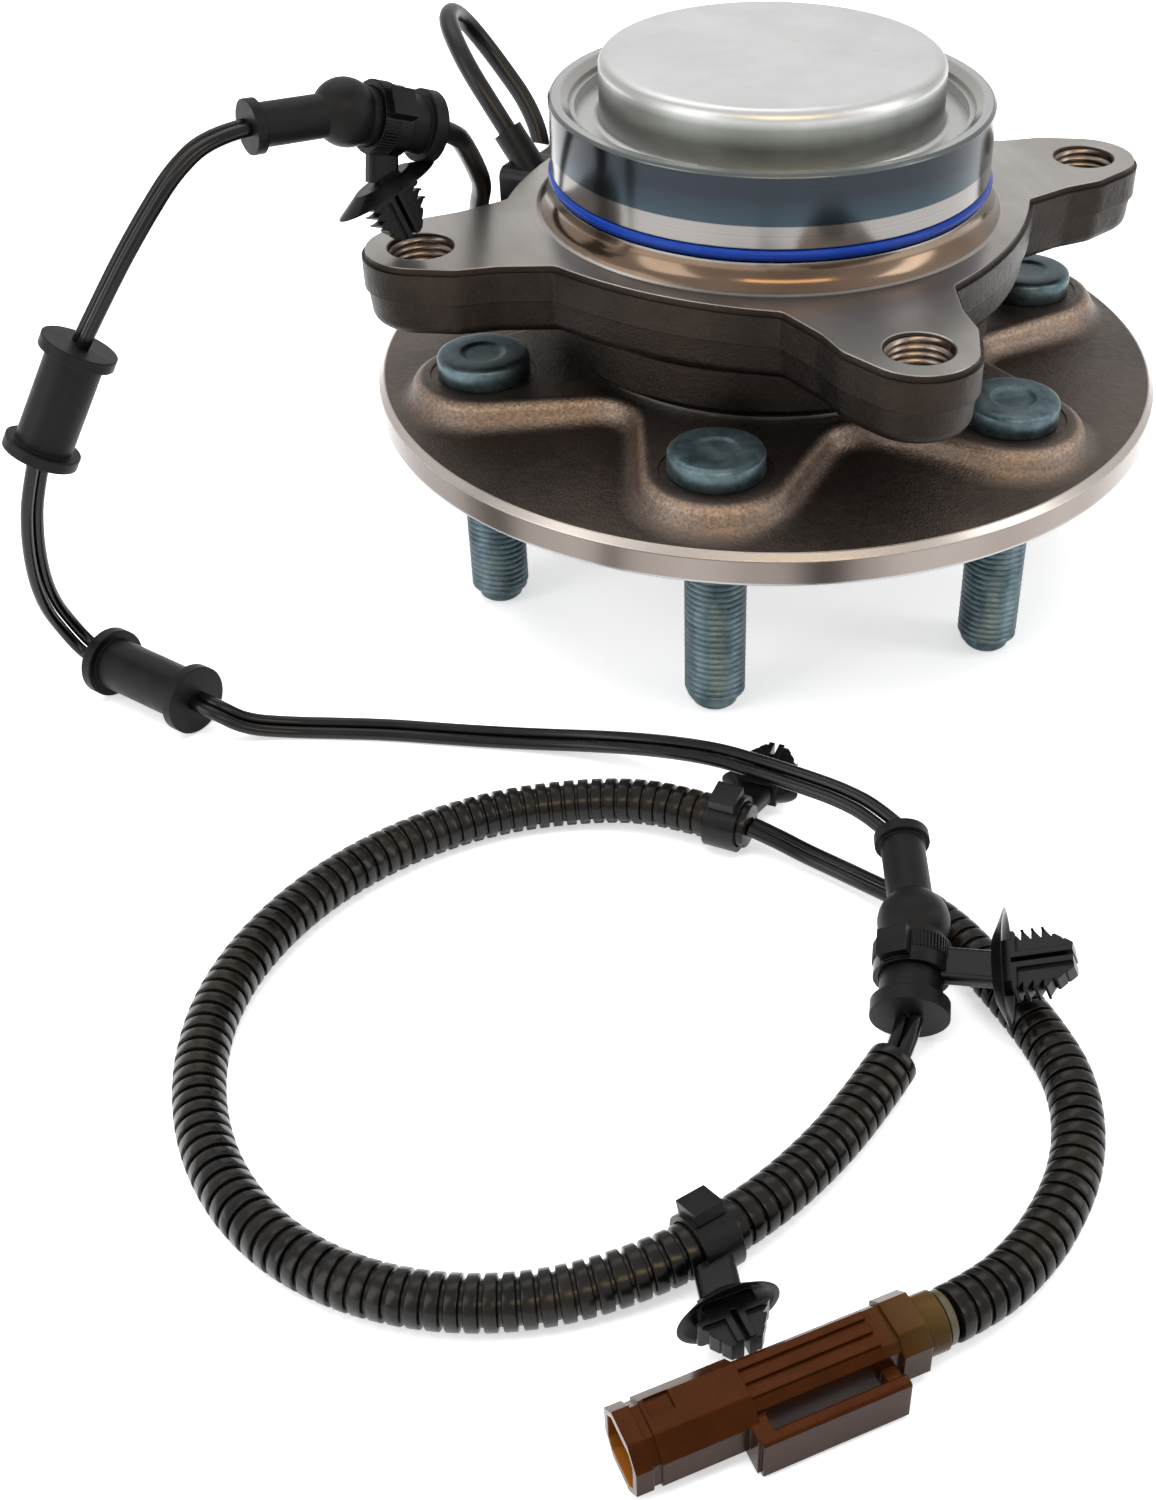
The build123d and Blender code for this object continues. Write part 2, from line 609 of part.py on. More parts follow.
def outer_ring():
    """Ring with its flange and sensor pad, the four ear holes, and the sensor's seat and bores."""
    inside = Cylinder(ring_body_r + 1, 3 * rim_top)
    ring = ring_blank() + (mounting_flange() - inside) + (sensor_pad() - inside)
    sunk = (Align.CENTER, Align.CENTER, Align.MAX)
    sink = Cone(ear_bore_r, ear_bore_r + ear_chamfer, ear_chamfer, align=sunk)
    for step in range(ear_count):
        at = polar(ear_circle_r, step * 360 / ear_count)
        ring -= Pos(at.X, at.Y, flange_bottom) * Cylinder(ear_bore_r, 3 * (flange_top - flange_bottom))
        ring -= Pos(at.X, at.Y, flange_top) * sink
    seat = Box(ring_body_r, head_half + 0.5 - pad_low, pad_height + head_rise,
               align=(Align.MIN, Align.MIN, Align.CENTER))
    ring -= sensor_frame() * Pos(pad_r, pad_low, 0) * seat
    ring -= along_sensor(ring_land_r - 3, pad_r + 5, sensor_bore_r)
    ring -= along_sensor(pad_r - sensor_screw_depth, pad_r + 5, screw_r, -lug_offset)
    return ring


def dust_cap():
    """Drawn sheet cap: flat top, rolled corner, and a foot that turns up into the press-fit brim."""
    wall, top, sheet = cap_wall_r, cap_top, cap_sheet
    floor = cap_ledge
    bend = cap_corner * (1 - sqrt(0.5))
    inner = cap_corner - sheet
    inner_bend = inner * (1 - sqrt(0.5))
    brim_in = cap_bore_r - sheet
    brim_top = floor + cap_brim_height
    foot = cap_foot
    foot_bend = foot * (1 - sqrt(0.5))
    return turned(
        Polyline((0, top - sheet), (0, top), (wall - cap_corner, top)),
        ThreePointArc((wall - cap_corner, top), (wall - bend, top - bend), (wall, top - cap_corner)),
        Line((wall, top - cap_corner), (wall, floor + sheet + foot)),
        ThreePointArc((wall, floor + sheet + foot), (wall + foot_bend, floor + sheet + foot_bend),
                      (wall + foot, floor + sheet)),
        Polyline((wall + foot, floor + sheet), (brim_in, floor + sheet), (brim_in, brim_top),
                 (cap_bore_r, brim_top), (cap_bore_r, floor), (wall - sheet, floor),
                 (wall - sheet, top - cap_corner)),
        ThreePointArc((wall - sheet, top - cap_corner), (wall - sheet - inner_bend, top - sheet - inner_bend),
                      (wall - sheet - inner, top - sheet)),
        Line((wall - sheet - inner, top - sheet), (0, top - sheet)))


def pilot_o_ring():
    centre = pilot_r + o_ring_squeeze - o_ring_section
    return Pos(0, 0, o_ring_z) * Torus(centre, o_ring_section)


# ---------------------------------------------------------------- speed sensor
def speed_sensor():
    """Moulded sensor: nose in the ring's bore, head and lug on the pad, collar for the cable."""
    nose = along_sensor(tone_r + sensor_gap, pad_r, sensor_nose_r)
    low, high = sensor_seal_r - sensor_seal_section - 0.1, sensor_seal_r + sensor_seal_section + 0.1
    core = along_sensor(low - 1, high + 1, sensor_nose_r - 2 * sensor_seal_section + 0.05)
    nose -= along_sensor(low, high, sensor_nose_r + 3) - core
    head = Box(head_out_r - pad_r, 2 * head_half, head_rise, align=(Align.MIN, Align.CENTER, Align.CENTER))
    head = fillet(head.edges().filter_by(Axis.X), 2.5)
    head = sensor_frame() * Pos(pad_r, 0, 0) * head
    lug = along_sensor(pad_r, pad_r + lug_thickness, lug_r, -lug_offset)
    web = Box(lug_thickness, lug_offset, 2 * lug_r - 2, align=(Align.MIN, Align.MAX, Align.CENTER))
    lug += sensor_frame() * Pos(pad_r, 0, 0) * web
    body = nose + head + lug + rod(collar_root, collar_end, collar_r)
    return body - along_sensor(pad_r - 1, head_out_r, bush_r, -lug_offset)


def sensor_o_ring():
    centre = sensor_nose_r - sensor_seal_section + 0.1
    return sensor_frame() * Pos(sensor_seal_r, 0, 0) * Rot(0, 90, 0) * Torus(centre, sensor_seal_section)


def sensor_bush():
    bush = along_sensor(pad_r, pad_r + lug_thickness + bush_proud, bush_r, -lug_offset)
    return bush - along_sensor(pad_r - 1, head_out_r, screw_r + 0.2, -lug_offset)


def sensor_screw():
    seat = pad_r + lug_thickness + bush_proud
    flange = along_sensor(seat, seat + screw_flange, screw_head_r, -lug_offset)
    hexagon = extrude(RegularPolygon(screw_head_r - 0.6, 6), amount=screw_head_height)
    head = sensor_frame() * Pos(seat + screw_flange, -lug_offset, 0) * Rot(0, 90, 0) * hexagon
    shank = along_sensor(pad_r - sensor_screw_depth + 1, seat, screw_r - screw_fit, -lug_offset)
    return flange + head + shank


# ---------------------------------------------------------------- harness
def spool_grommet(ends):
    """Straight grommet: two flanges on a plain body."""
    length = (Vector(*ends[1]) - Vector(*ends[0])).length
    edge = spool_width / length
    return spool(*ends, [(0, spool_r), (edge, spool_r), (edge, spool_body_r), (1 - edge, spool_body_r),
                         (1 - edge, spool_r), (1, spool_r)])


def elbow_grommet(ends):
    """Bent grommet: slim neck and small flange, ball at the bend, clip seat and large flange."""
    small, ball, big = [Vector(*point) for point in ends]
    neck = (ball - small).length
    seat = (big - ball).length
    low = neck - sqrt(elbow_ball_r**2 - elbow_neck_r**2)
    outline = turned(
        Polyline((0, 0), (elbow_small_r, 0), (elbow_small_r, elbow_small_width),
                 (elbow_neck_r, elbow_small_width), (elbow_neck_r, low)),
        ThreePointArc((elbow_neck_r, low), (elbow_ball_r, neck), (0, neck + elbow_ball_r)),
        Line((0, neck + elbow_ball_r), (0, 0)))
    rim = 1 - elbow_big_width / seat
    second = spool(ball, big, [(0, elbow_seat_r), (rim, elbow_seat_r), (rim, elbow_big_r), (1, elbow_big_r)])
    return Plane(origin=small, z_dir=ball - small) * outline + second


def elbow_seat(ends):
    """Middle and direction of an elbow grommet's clip seat."""
    ball, big = Vector(*ends[1]), Vector(*ends[2])
    return ball + (big - ball) * elbow_seat_share, (big - ball).normalized()


def clip(band_at, band_axis, bore, dish_at, dish_long, dish_size, tip, latch_side):
    """Push-in clip: strap round the cord with its latch, neck, dished washer and barbed peg."""
    band_at, dish_at, tip = Vector(*band_at), Vector(*dish_at), Vector(*tip)
    band_axis = Vector(*band_axis).normalized()
    peg = (tip - dish_at).normalized()
    long = Vector(*dish_long)
    long = (long - peg * long.dot(peg)).normalized()
    reach = (dish_at - band_at).length
    towards = (dish_at - band_at).normalized()
    half_width = band_axis * (band_width / 2)
    neck_plane = Plane(origin=band_at, x_dir=band_axis.cross(towards), z_dir=towards)
    neck = extrude(neck_plane * RectangleRounded(neck_thickness, band_width, 1.2), amount=reach + 0.5)
    side = Vector(*latch_side)
    side = (side - band_axis * side.dot(band_axis)).normalized()
    latch_at = Plane(origin=band_at + side * (bore + band_wall - 0.5), x_dir=band_axis, z_dir=side)
    latch = latch_at * Box(*latch_size, align=(Align.CENTER, Align.CENTER, Align.MIN))
    strap = rod(band_at - half_width, band_at + half_width, bore + band_wall)
    opening = rod(band_at - half_width * 3, band_at + half_width * 3, bore)
    base = Plane(origin=dish_at, x_dir=long, z_dir=peg)
    return strap + latch + neck - opening + dish(base, dish_size) + fir_tree(base, (tip - dish_at).length)


def dish(base, size):
    """Oval washer, dished so that its rim presses on the panel before the rest does."""
    wide, deep = size[0] / 2, size[1] / 2
    level = [base * Pos(0, 0, lift) for lift in (0, dish_depth, dish_wall, dish_depth + 0.01)]
    middle = Ellipse(wide * 0.55, deep * 0.6)
    outer = loft([level[0] * middle, level[1] * Ellipse(wide, deep)])
    inner = loft([level[2] * middle, level[3] * Ellipse(wide - dish_wall, deep - dish_wall)])
    return outer - inner


def fir_tree(base, length):
    """Barbed peg along the plane's normal, slotted so that its two legs spring together."""
    count = int((length - dish_depth) / barb_pitch)
    foot = length - count * barb_pitch
    right = [(barb_root, 0), (barb_root, foot)]
    for step in range(count):
        low = foot + step * barb_pitch
        half = min(barb_half, barb_tip_half + (count - 1 - step) * barb_swell)
        right += [(half, low + 0.1), (half, low + 0.1 + barb_edge)]
        right += [(min(barb_root, half - 1), low + barb_pitch)]
    outline = right + [(-x, y) for x, y in reversed(right)]
    profile = make_face(Polyline(*outline, close=True))
    peg = extrude(Plane.XZ * profile, amount=barb_thickness / 2, both=True)
    slot = Box(barb_slot, barb_thickness + 2, length, align=(Align.CENTER, Align.CENTER, Align.MIN))
    hollow = Box(barb_root, 1.6, length, align=(Align.MIN, Align.CENTER, Align.MIN))
    peg -= Pos(0, 0, foot) * slot
    for turn in (0, 180):
        for face in (-barb_thickness / 2, barb_thickness / 2):
            peg -= Rot(0, 0, turn) * Pos(barb_slot + 0.7, face, foot + 1) * hollow
    web = Box(barb_slot + 0.4, 1.2, length - 1.5, align=(Align.CENTER, Align.CENTER, Align.MIN))
    return base * (peg + web)


# ---------------------------------------------------------------- connector
def plug_frame():
    """Origin on the ground under the collar's end, X out of the cord and into the plug."""
    turn = radians(180 + connector_yaw)
    return Plane(origin=(*connector_at, ground), x_dir=(cos(turn), sin(turn), 0), z_dir=(0, 0, 1))


def plug_block(start, end, width, low, high, chamfered, side=0.0):
    block = Box(end - start, width, high - low, align=(Align.MIN, Align.CENTER, Align.MIN))
    if chamfered:
        block = chamfer(block.edges().filter_by(Axis.X), chamfered)
    return Pos(start, side, low) * block


def plug_rod(start, end, radius, side=0.0):
    return rod((start, side, plug_height), (end, side, plug_height), radius)


def connector_housing():
    """Two-way plug: chamfered shroud with an open mouth, ribbed body, side latch rail, collar."""
    far, near, width, height = plug_shroud
    front, rear, body_width, body_height = plug_body
    bead_far, bead_near, bead = plug_bead
    housing = plug_block(near, far, width, 0, height, plug_chamfer)
    kept = plug_block(far - 5, far - 2, width - 2 * bead, bead, height - bead, plug_chamfer - 0.2)
    housing -= plug_block(far - bead_far, far - bead_near, 2 * width, -1, 2 * height, 0) - kept
    housing += plug_block(rear, front, body_width, 1.5, 1.5 + body_height, 1.2)
    for step in (-1, 0, 1):
        top = 1.5 + body_height + plug_rib[1] - 0.5
        housing += plug_block(rear + 6, front, plug_rib[0], top - plug_rib[1], top, 0, step * plug_rib[2])
    length, plate_width, plate_top, plate_chamfer = plug_plate
    housing += plug_block(rear - 2, rear - 2 + length, plate_width, 0.4, plate_top, plate_chamfer)
    housing += plug_rod(0, rear, plug_collar_r) + latch_rail()
    socket_top = socket_low + socket_size[1]
    housing -= plug_block(far - socket_depth, far + 1, socket_size[0], socket_low, socket_top, 1.5)
    housing -= plug_block(far - 9, far - 5, 3.4, height - 0.7, height + 1, 0, -1.5)
    housing -= plug_rod(-1, plug_seal_in, plug_seal_r)
    return plug_frame() * housing


def latch_rail():
    """Springy rail beside the body, held at the shroud and near the end plate."""
    near, width = plug_shroud[1], plug_shroud[2]
    length, thickness, tall = rail_size
    side = width / 2 + rail_gap
    top = rail_low + tall
    bar = plug_block(near - length, near + 1, thickness, rail_low, top, 0.4, side)
    root = plug_block(near - 1.5, near + 1.5, side, rail_low, top, 0, side / 2)
    foot = plug_block(near - length, near - length + 2.5, side, 3.5, 7.0, 0, side / 2)
    return bar + root + foot


def connector_seal():
    """Rear wire seal, a ribbed plug in the collar that stands out towards the conduit."""
    lip = plug_rod(-1.5, -0.5, plug_seal_r + 0.5)
    return plug_frame() * (plug_rod(-plug_seal_out, plug_seal_in, plug_seal_r) + lip)


def connector_terminals():
    root = plug_shroud[0] - socket_depth
    return [plug_frame() * plug_rod(root, root + pin_length, pin_r, side) for side in (-pin_side, pin_side)]


# ---------------------------------------------------------------- export
def wire_pair(name, route, across, parts):
    for letter, side in (("a", wire_spread), ("b", -wire_spread)):
        node = "wire_" + letter + "_" + name
        parts[node] = tube(node, beside(route, across, side), wire_r)


def wheel_studs():
    stud = wheel_stud()
    return [Pos(*polar(stud_circle_r, step * 360 / stud_count)) * stud for step in range(stud_count)]


def harness():
    """Cord, grommets, clips and plug, from the sensor to the connector's mouth."""
    level = (0, 1, 0)
    skew = (0.8, 0.6, 0)
    parts = {"sensor_cable": tube("sensor_cable", cable_route, cable_r)}
    parts["grommet_1"] = elbow_grommet(elbow_1)
    parts["grommet_2"] = spool_grommet(spool_top)
    parts["grommet_3"] = spool_grommet(spool_ground)
    parts["grommet_4"] = elbow_grommet(elbow_2)
    wire_pair("1", loop_route, level, parts)
    wire_pair("2", drop_route, skew, parts)
    wire_pair("3", floor_route, skew, parts)
    wire_pair("4", stub_route, level, parts)
    wire_pair("5", link_route, level, parts)
    parts["conduit_1"] = tube("conduit_1", conduit_1_route, conduit_r)
    parts["conduit_2"] = tube("conduit_2", conduit_2_route, conduit_r)
    on_elbow = elbow_seat_r + seat_gap
    on_conduit = conduit_r + band_gap
    seat_1, run_1 = elbow_seat(elbow_1)
    seat_2, run_2 = elbow_seat(elbow_2)
    parts["clip_1"] = clip(seat_1, run_1, on_elbow, (-88.4, 1.6, 60.3), (0.93, 0.36, -0.03), (26, 13),
                           (-84.0, 0.0, 48.4), (0, -1, 0.9))
    parts["clip_2"] = clip((-90.5, -209.3, clip_lift), (-0.965, -0.261, 0), on_conduit,
                           (-92.6, -222.0, ground + 7.0), (1, 0, 0), (18, 13),
                           (-91.9, -231.4, ground + 7.0), (0.3, 0.4, 1))
    parts["clip_3"] = clip((-50.1, -109.7, clip_lift), (0.739, -0.673, 0), on_conduit,
                           (-40.8, -102.4, ground + 5.2), (0.62, -0.78, 0), (17, 8),
                           (-31.4, -90.6, ground + 5.0), (-0.1, -0.1, 1))
    parts["clip_4"] = clip(seat_2, run_2, on_elbow, (-22.3, -176.5, ground + 15.0), run_2, (26, 11),
                           (-10.0, -183.2, ground + 19.9), (-0.5, 0.2, 1))
    parts["connector_housing"] = connector_housing()
    parts["connector_seal"] = connector_seal()
    parts["connector_terminals"] = connector_terminals()
    return parts


def build():
    parts = {
        "wheel_hub": wheel_hub(), "inner_ring": inner_ring(), "wheel_studs": wheel_studs(),
        "tone_ring": tone_ring(), "slinger": slinger(), "seal_case": seal_case(), "seal_lip": seal_lip(),
        "balls_outboard": row_of_balls(row_outboard), "balls_inboard": row_of_balls(row_inboard),
        "cage_outboard": cage(row_outboard, 1), "cage_inboard": cage(row_inboard, 1),
        "outer_ring": outer_ring(), "dust_cap": dust_cap(), "pilot_o_ring": pilot_o_ring(),
        "speed_sensor": speed_sensor(), "sensor_o_ring": sensor_o_ring(), "sensor_bush": sensor_bush(),
        "sensor_screw": sensor_screw()}
    parts.update(harness())
    return parts


if __name__ == "__main__":
    os.makedirs("parts", exist_ok=True)
    for node, shape in build().items():
        if isinstance(shape, list):
            shape = Compound(children=shape)
        export_step(shape, "parts/" + node + ".step")
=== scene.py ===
"""Looks of a wheel hub bearing unit with its speed sensor and harness. Lengths are in metres.

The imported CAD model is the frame. Most pieces keep their CAD solids and get a material here, and the
turned steel parts' materials know the height and radius they are at. The threaded studs, the ear
threads, the strap teeth, the cable, the wires and the conduits are built here.
"""
import json
import math
import random

import bpy
from mathutils import Matrix, Vector


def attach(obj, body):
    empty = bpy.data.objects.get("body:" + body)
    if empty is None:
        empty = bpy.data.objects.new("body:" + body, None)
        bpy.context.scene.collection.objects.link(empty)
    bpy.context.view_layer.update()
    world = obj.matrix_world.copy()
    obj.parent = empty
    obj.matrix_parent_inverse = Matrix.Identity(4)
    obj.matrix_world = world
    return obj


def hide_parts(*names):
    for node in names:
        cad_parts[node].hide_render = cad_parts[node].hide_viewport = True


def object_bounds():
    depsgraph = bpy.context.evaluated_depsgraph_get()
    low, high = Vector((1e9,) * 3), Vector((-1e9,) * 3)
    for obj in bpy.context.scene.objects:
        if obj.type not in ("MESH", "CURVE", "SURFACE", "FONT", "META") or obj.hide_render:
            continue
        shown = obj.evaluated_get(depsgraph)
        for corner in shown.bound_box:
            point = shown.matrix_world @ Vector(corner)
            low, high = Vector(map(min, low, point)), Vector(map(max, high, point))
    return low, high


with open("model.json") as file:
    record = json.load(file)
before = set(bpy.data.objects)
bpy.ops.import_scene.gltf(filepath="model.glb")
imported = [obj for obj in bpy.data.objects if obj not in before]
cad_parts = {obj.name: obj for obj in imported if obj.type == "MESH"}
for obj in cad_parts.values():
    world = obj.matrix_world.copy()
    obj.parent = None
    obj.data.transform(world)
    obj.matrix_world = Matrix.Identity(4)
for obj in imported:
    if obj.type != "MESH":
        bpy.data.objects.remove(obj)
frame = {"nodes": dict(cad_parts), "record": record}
box_at_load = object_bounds()

MM = 0.001
PLUG_AT = (-62.0 * MM, -236.4 * MM, -40.4 * MM)    # where the rear collar ends, at the socket's height
PLUG_YAW = 5.0
random.seed(7)


# ---------------------------------------------------------------- shader helper
class Shader:
    """A node material that is built from the surface backwards."""

    def __init__(self, name):
        self.material = bpy.data.materials.new(name)
        self.material.use_nodes = True
        self.tree = self.material.node_tree
        self.tree.nodes.clear()
        self.output = self.tree.nodes.new("ShaderNodeOutputMaterial")
        self.surface = self.tree.nodes.new("ShaderNodeBsdfPrincipled")
        self.link(self.surface.outputs[0], self.output.inputs["Surface"])
        self.place = self.node("ShaderNodeTexCoord").outputs["Object"]

    def node(self, kind, **settings):
        made = self.tree.nodes.new(kind)
        for key, value in settings.items():
            setattr(made, key, value)
        return made

    def link(self, source, target):
        self.tree.links.new(source, target)

    def feed(self, socket, value):
        if isinstance(value, bpy.types.NodeSocket):
            self.link(value, socket)
        elif isinstance(value, (tuple, list)) and len(value) == 3 and socket.type == "RGBA":
            socket.default_value = (*value, 1.0)
        else:
            socket.default_value = value

    def set(self, **inputs):
        for name, value in inputs.items():
            self.feed(self.surface.inputs[name.replace("_", " ")], value)
        return self

    def math(self, kind, first, second=0.0):
        made = self.node("ShaderNodeMath", operation=kind)
        self.feed(made.inputs[0], first)
        self.feed(made.inputs[1], second)
        return made.outputs[0]

    def times(self, first, second):
        return self.math("MULTIPLY", first, second)

    def rest_of(self, amount):
        """1 minus an amount."""
        return self.math("SUBTRACT", 1.0, amount)

    def noise(self, scale, detail=6.0, roughness=0.6, stretch=None):
        made = self.node("ShaderNodeTexNoise")
        place = self.place
        if stretch:
            mapping = self.node("ShaderNodeMapping")
            self.feed(mapping.inputs["Scale"], stretch)
            self.link(place, mapping.inputs["Vector"])
            place = mapping.outputs[0]
        self.link(place, made.inputs["Vector"])
        made.inputs["Scale"].default_value = scale
        made.inputs["Detail"].default_value = detail
        made.inputs["Roughness"].default_value = roughness
        return made.outputs["Fac"]

    def ramp(self, value, low, high, to_low=0.0, to_high=1.0):
        made = self.node("ShaderNodeMapRange", clamp=True)
        for socket, number in zip(range(1, 5), (low, high, to_low, to_high)):
            self.feed(made.inputs[socket], number)
        self.feed(made.inputs[0], value)
        return made.outputs[0]

    def mix(self, amount, first, second):
        made = self.node("ShaderNodeMix", data_type="RGBA")
        self.feed(made.inputs[0], amount)
        self.feed(made.inputs[6], first)
        self.feed(made.inputs[7], second)
        return made.outputs[2]

    def blend(self, amount, first, second):
        made = self.node("ShaderNodeMix", data_type="FLOAT")
        self.feed(made.inputs[0], amount)
        self.feed(made.inputs[2], first)
        self.feed(made.inputs[3], second)
        return made.outputs[0]

    def place_parts(self):
        """Radius from the spin axis and height, as sockets."""
        split = self.node("ShaderNodeSeparateXYZ")
        self.link(self.place, split.inputs[0])
        x, y, z = split.outputs
        radius = self.math("SQRT", self.math("ADD", self.times(x, x), self.times(y, y)))
        return radius, z

    def between(self, value, low, high, soft=0.15 * MM):
        """1 inside a band, 0 outside it."""
        rise = self.ramp(value, low - soft, low + soft)
        fall = self.ramp(value, high - soft, high + soft, 1.0, 0.0)
        return self.times(rise, fall)

    def bump(self, height, strength, distance, edge=None):
        made = self.node("ShaderNodeBump")
        made.inputs["Strength"].default_value = strength
        made.inputs["Distance"].default_value = distance
        self.feed(made.inputs["Height"], height)
        if edge:
            self.link(self.round_edges(edge), made.inputs["Normal"])
        self.link(made.outputs[0], self.surface.inputs["Normal"])
        return self

    def round_edges(self, radius):
        made = self.node("ShaderNodeBevel", samples=6)
        made.inputs["Radius"].default_value = radius
        return made.outputs[0]

    def along(self, origin, direction):
        """Distance from a point along a direction, as a socket."""
        away = self.node("ShaderNodeVectorMath", operation="SUBTRACT")
        self.link(self.place, away.inputs[0])
        away.inputs[1].default_value = origin
        made = self.node("ShaderNodeVectorMath", operation="DOT_PRODUCT")
        self.link(away.outputs[0], made.inputs[0])
        made.inputs[1].default_value = direction
        return made.outputs["Value"]

    def slope(self, low, high):
        """1 where the normal's height lies between two values, fading out over a little on each side; it
        places the painted copper highlight.
        """
        split = self.node("ShaderNodeSeparateXYZ")
        self.link(self.node("ShaderNodeNewGeometry").outputs["Normal"], split.inputs[0])
        rise = self.ramp(split.outputs[2], low - 0.25, low)
        fall = self.ramp(split.outputs[2], high - 0.12, high, 1.0, 0.0)
        return self.times(rise, fall)


# ---------------------------------------------------------------- materials
def forged_layer(shader, dark, warm):
    """Colour, roughness and grain height of shot-blasted forging skin."""
    cloud = shader.noise(38, 4, 0.55)
    coarse = shader.noise(420, 5, 0.65)
    fine = shader.noise(1500, 3, 0.7)
    colour = shader.mix(shader.ramp(cloud, 0.35, 0.68), dark, warm)
    speck = shader.times(shader.ramp(fine, 0.58, 0.74), 0.45)
    colour = shader.mix(speck, colour, tuple(2.1 * part for part in warm))
    rough = shader.ramp(coarse, 0.3, 0.7, 0.36, 0.50)
    height = shader.math("ADD", shader.times(fine, 0.8), coarse)
    return colour, rough, height


RIM_Z = (-1 * MM, 5.7 * MM)              # turned rim of the wheel flange
RIM_R = (92 * MM, 95 * MM)
BEVEL_Z = (5.7 * MM, 7.3 * MM)
BEVEL_R = (91.7 * MM, 95 * MM)
UNDERSIDE_Z = (-12 * MM, 0.4 * MM)       # machined wheel side


def wheel_flange_material():
    """Forging skin with a painted copper highlight on its rounded slopes; turned rim with painted reflection
    streaks, chamfer and face.
    """
    shader = Shader("forged_steel_hub")
    radius, z = shader.place_parts()
    colour, rough, height = forged_layer(shader, (0.052, 0.041, 0.035), (0.092, 0.071, 0.059))
    # painted highlight: a grainy copper sheen painted on the lobes' rounded slopes, strongest high up,
    # standing in for the light they catch
    slope = shader.times(shader.slope(0.50, 0.985), shader.ramp(z, 7.6 * MM, 12.4 * MM, 0.15, 1.0))
    slope = shader.times(slope, shader.ramp(radius, 45 * MM, 52 * MM))
    grain = shader.ramp(shader.noise(1300, 3, 0.7), 0.35, 0.65, 0.30, 1.0)
    colour = shader.mix(shader.times(slope, grain), colour, (0.30, 0.222, 0.168))
    # painted reflection: the turned rim band runs between a dark and a light steel in vertical streaks that
    # copy reflections
    painted_streaks = shader.noise(9, 3, 0.6, stretch=(1.0, 1.0, 0.05))
    rim = shader.times(shader.between(z, *RIM_Z), shader.between(radius, *RIM_R))
    band = shader.mix(shader.ramp(painted_streaks, 0.40, 0.58), (0.110, 0.088, 0.076), (0.25, 0.218, 0.196))
    colour = shader.mix(rim, colour, band)
    bevel = shader.times(shader.between(z, *BEVEL_Z), shader.between(radius, *BEVEL_R))
    colour = shader.mix(bevel, colour, (0.42, 0.38, 0.34))
    underside = shader.between(z, *UNDERSIDE_Z)
    colour = shader.mix(shader.times(underside, 0.8), colour, (0.42, 0.42, 0.43))
    bright = shader.math("MAXIMUM", shader.math("MAXIMUM", rim, bevel), underside)
    shader.set(Base_Color=colour, Metallic=0.9)
    shader.set(Roughness=shader.blend(bright, rough, 0.26))
    skin = shader.times(height, shader.rest_of(bright))
    shader.bump(skin, 0.8, 0.24 * MM, 0.35 * MM)
    return shader.material


# heights of the ring's turned zones, from the milled face up
FACE_Z = (45.25 * MM, 45.8 * MM)
FACE_EDGE = 0.06 * MM
RELIEF_Z = (45.7 * MM, 50.6 * MM)
GROUND_BAND_Z = (50.6 * MM, 59.0 * MM)
OXIDE_Z = (59.0 * MM, 69.1 * MM)
RING_TOP_Z = (69.1 * MM, 72 * MM)
BORE_Z = (46 * MM, 69.6 * MM)
BORE_R = 47.2 * MM
ZONE_EDGE = 0.1 * MM                     # how far a zone fades on each side of its end


def outer_ring_material():
    """Dark forging below; milled face, polished relief, ground band and oxide band above it."""
    shader = Shader("forged_steel_ring")
    radius, z = shader.place_parts()
    colour, rough, height = forged_layer(shader, (0.013, 0.010, 0.008), (0.027, 0.020, 0.016))
    stain = shader.ramp(shader.noise(22, 3, 0.55), 0.36, 0.64)
    milled = shader.noise(260, 5, 0.6, stretch=(1.0, 0.12, 1.0))
    turning = shader.noise(40, 3, 0.6, stretch=(0.02, 0.02, 90.0))
    face = shader.between(z, *FACE_Z, FACE_EDGE)
    steel = shader.mix(milled, (0.29, 0.27, 0.25), (0.42, 0.40, 0.38))
    steel = shader.mix(shader.times(stain, 0.6), steel, (0.19, 0.165, 0.145))
    colour = shader.mix(face, colour, steel)
    relief = shader.between(z, *RELIEF_Z, ZONE_EDGE)
    colour = shader.mix(relief, colour, shader.mix(stain, (0.105, 0.070, 0.047), (0.19, 0.135, 0.095)))
    ground_band = shader.between(z, *GROUND_BAND_Z, ZONE_EDGE)
    colour = shader.mix(ground_band, colour, shader.mix(turning, (0.12, 0.110, 0.100), (0.30, 0.285, 0.275)))
    oxide = shader.between(z, *OXIDE_Z, ZONE_EDGE)
    blue = shader.mix(turning, (0.013, 0.016, 0.021), (0.034, 0.039, 0.048))
    # painted reflection: the oxide band turns a lighter teal towards its bottom
    blue = shader.mix(shader.ramp(z, 65 * MM, 59 * MM, 0.0, 0.35), blue, (0.045, 0.085, 0.105))
    colour = shader.mix(oxide, colour, blue)
    top = shader.between(z, *RING_TOP_Z, ZONE_EDGE)
    outward = shader.ramp(radius, 48.9 * MM, 49.1 * MM)
    rim_face = shader.mix(outward, (0.36, 0.365, 0.36), (0.110, 0.122, 0.118))
    colour = shader.mix(top, colour, rim_face)
    inside = shader.times(shader.between(z, *BORE_Z), shader.between(radius, 0, BORE_R))
    colour = shader.mix(inside, colour, (0.30, 0.29, 0.27))
    machined = shader.ramp(z, 45.1 * MM, 45.3 * MM)
    shader.set(Base_Color=colour, Metallic=0.92)
    shader.set(Roughness=shader.blend(machined, rough, shader.blend(face, 0.17, 0.30)))
    skin = shader.times(height, shader.rest_of(machined))
    shader.bump(skin, 0.7, 0.22 * MM, 0.35 * MM)
    return shader.material


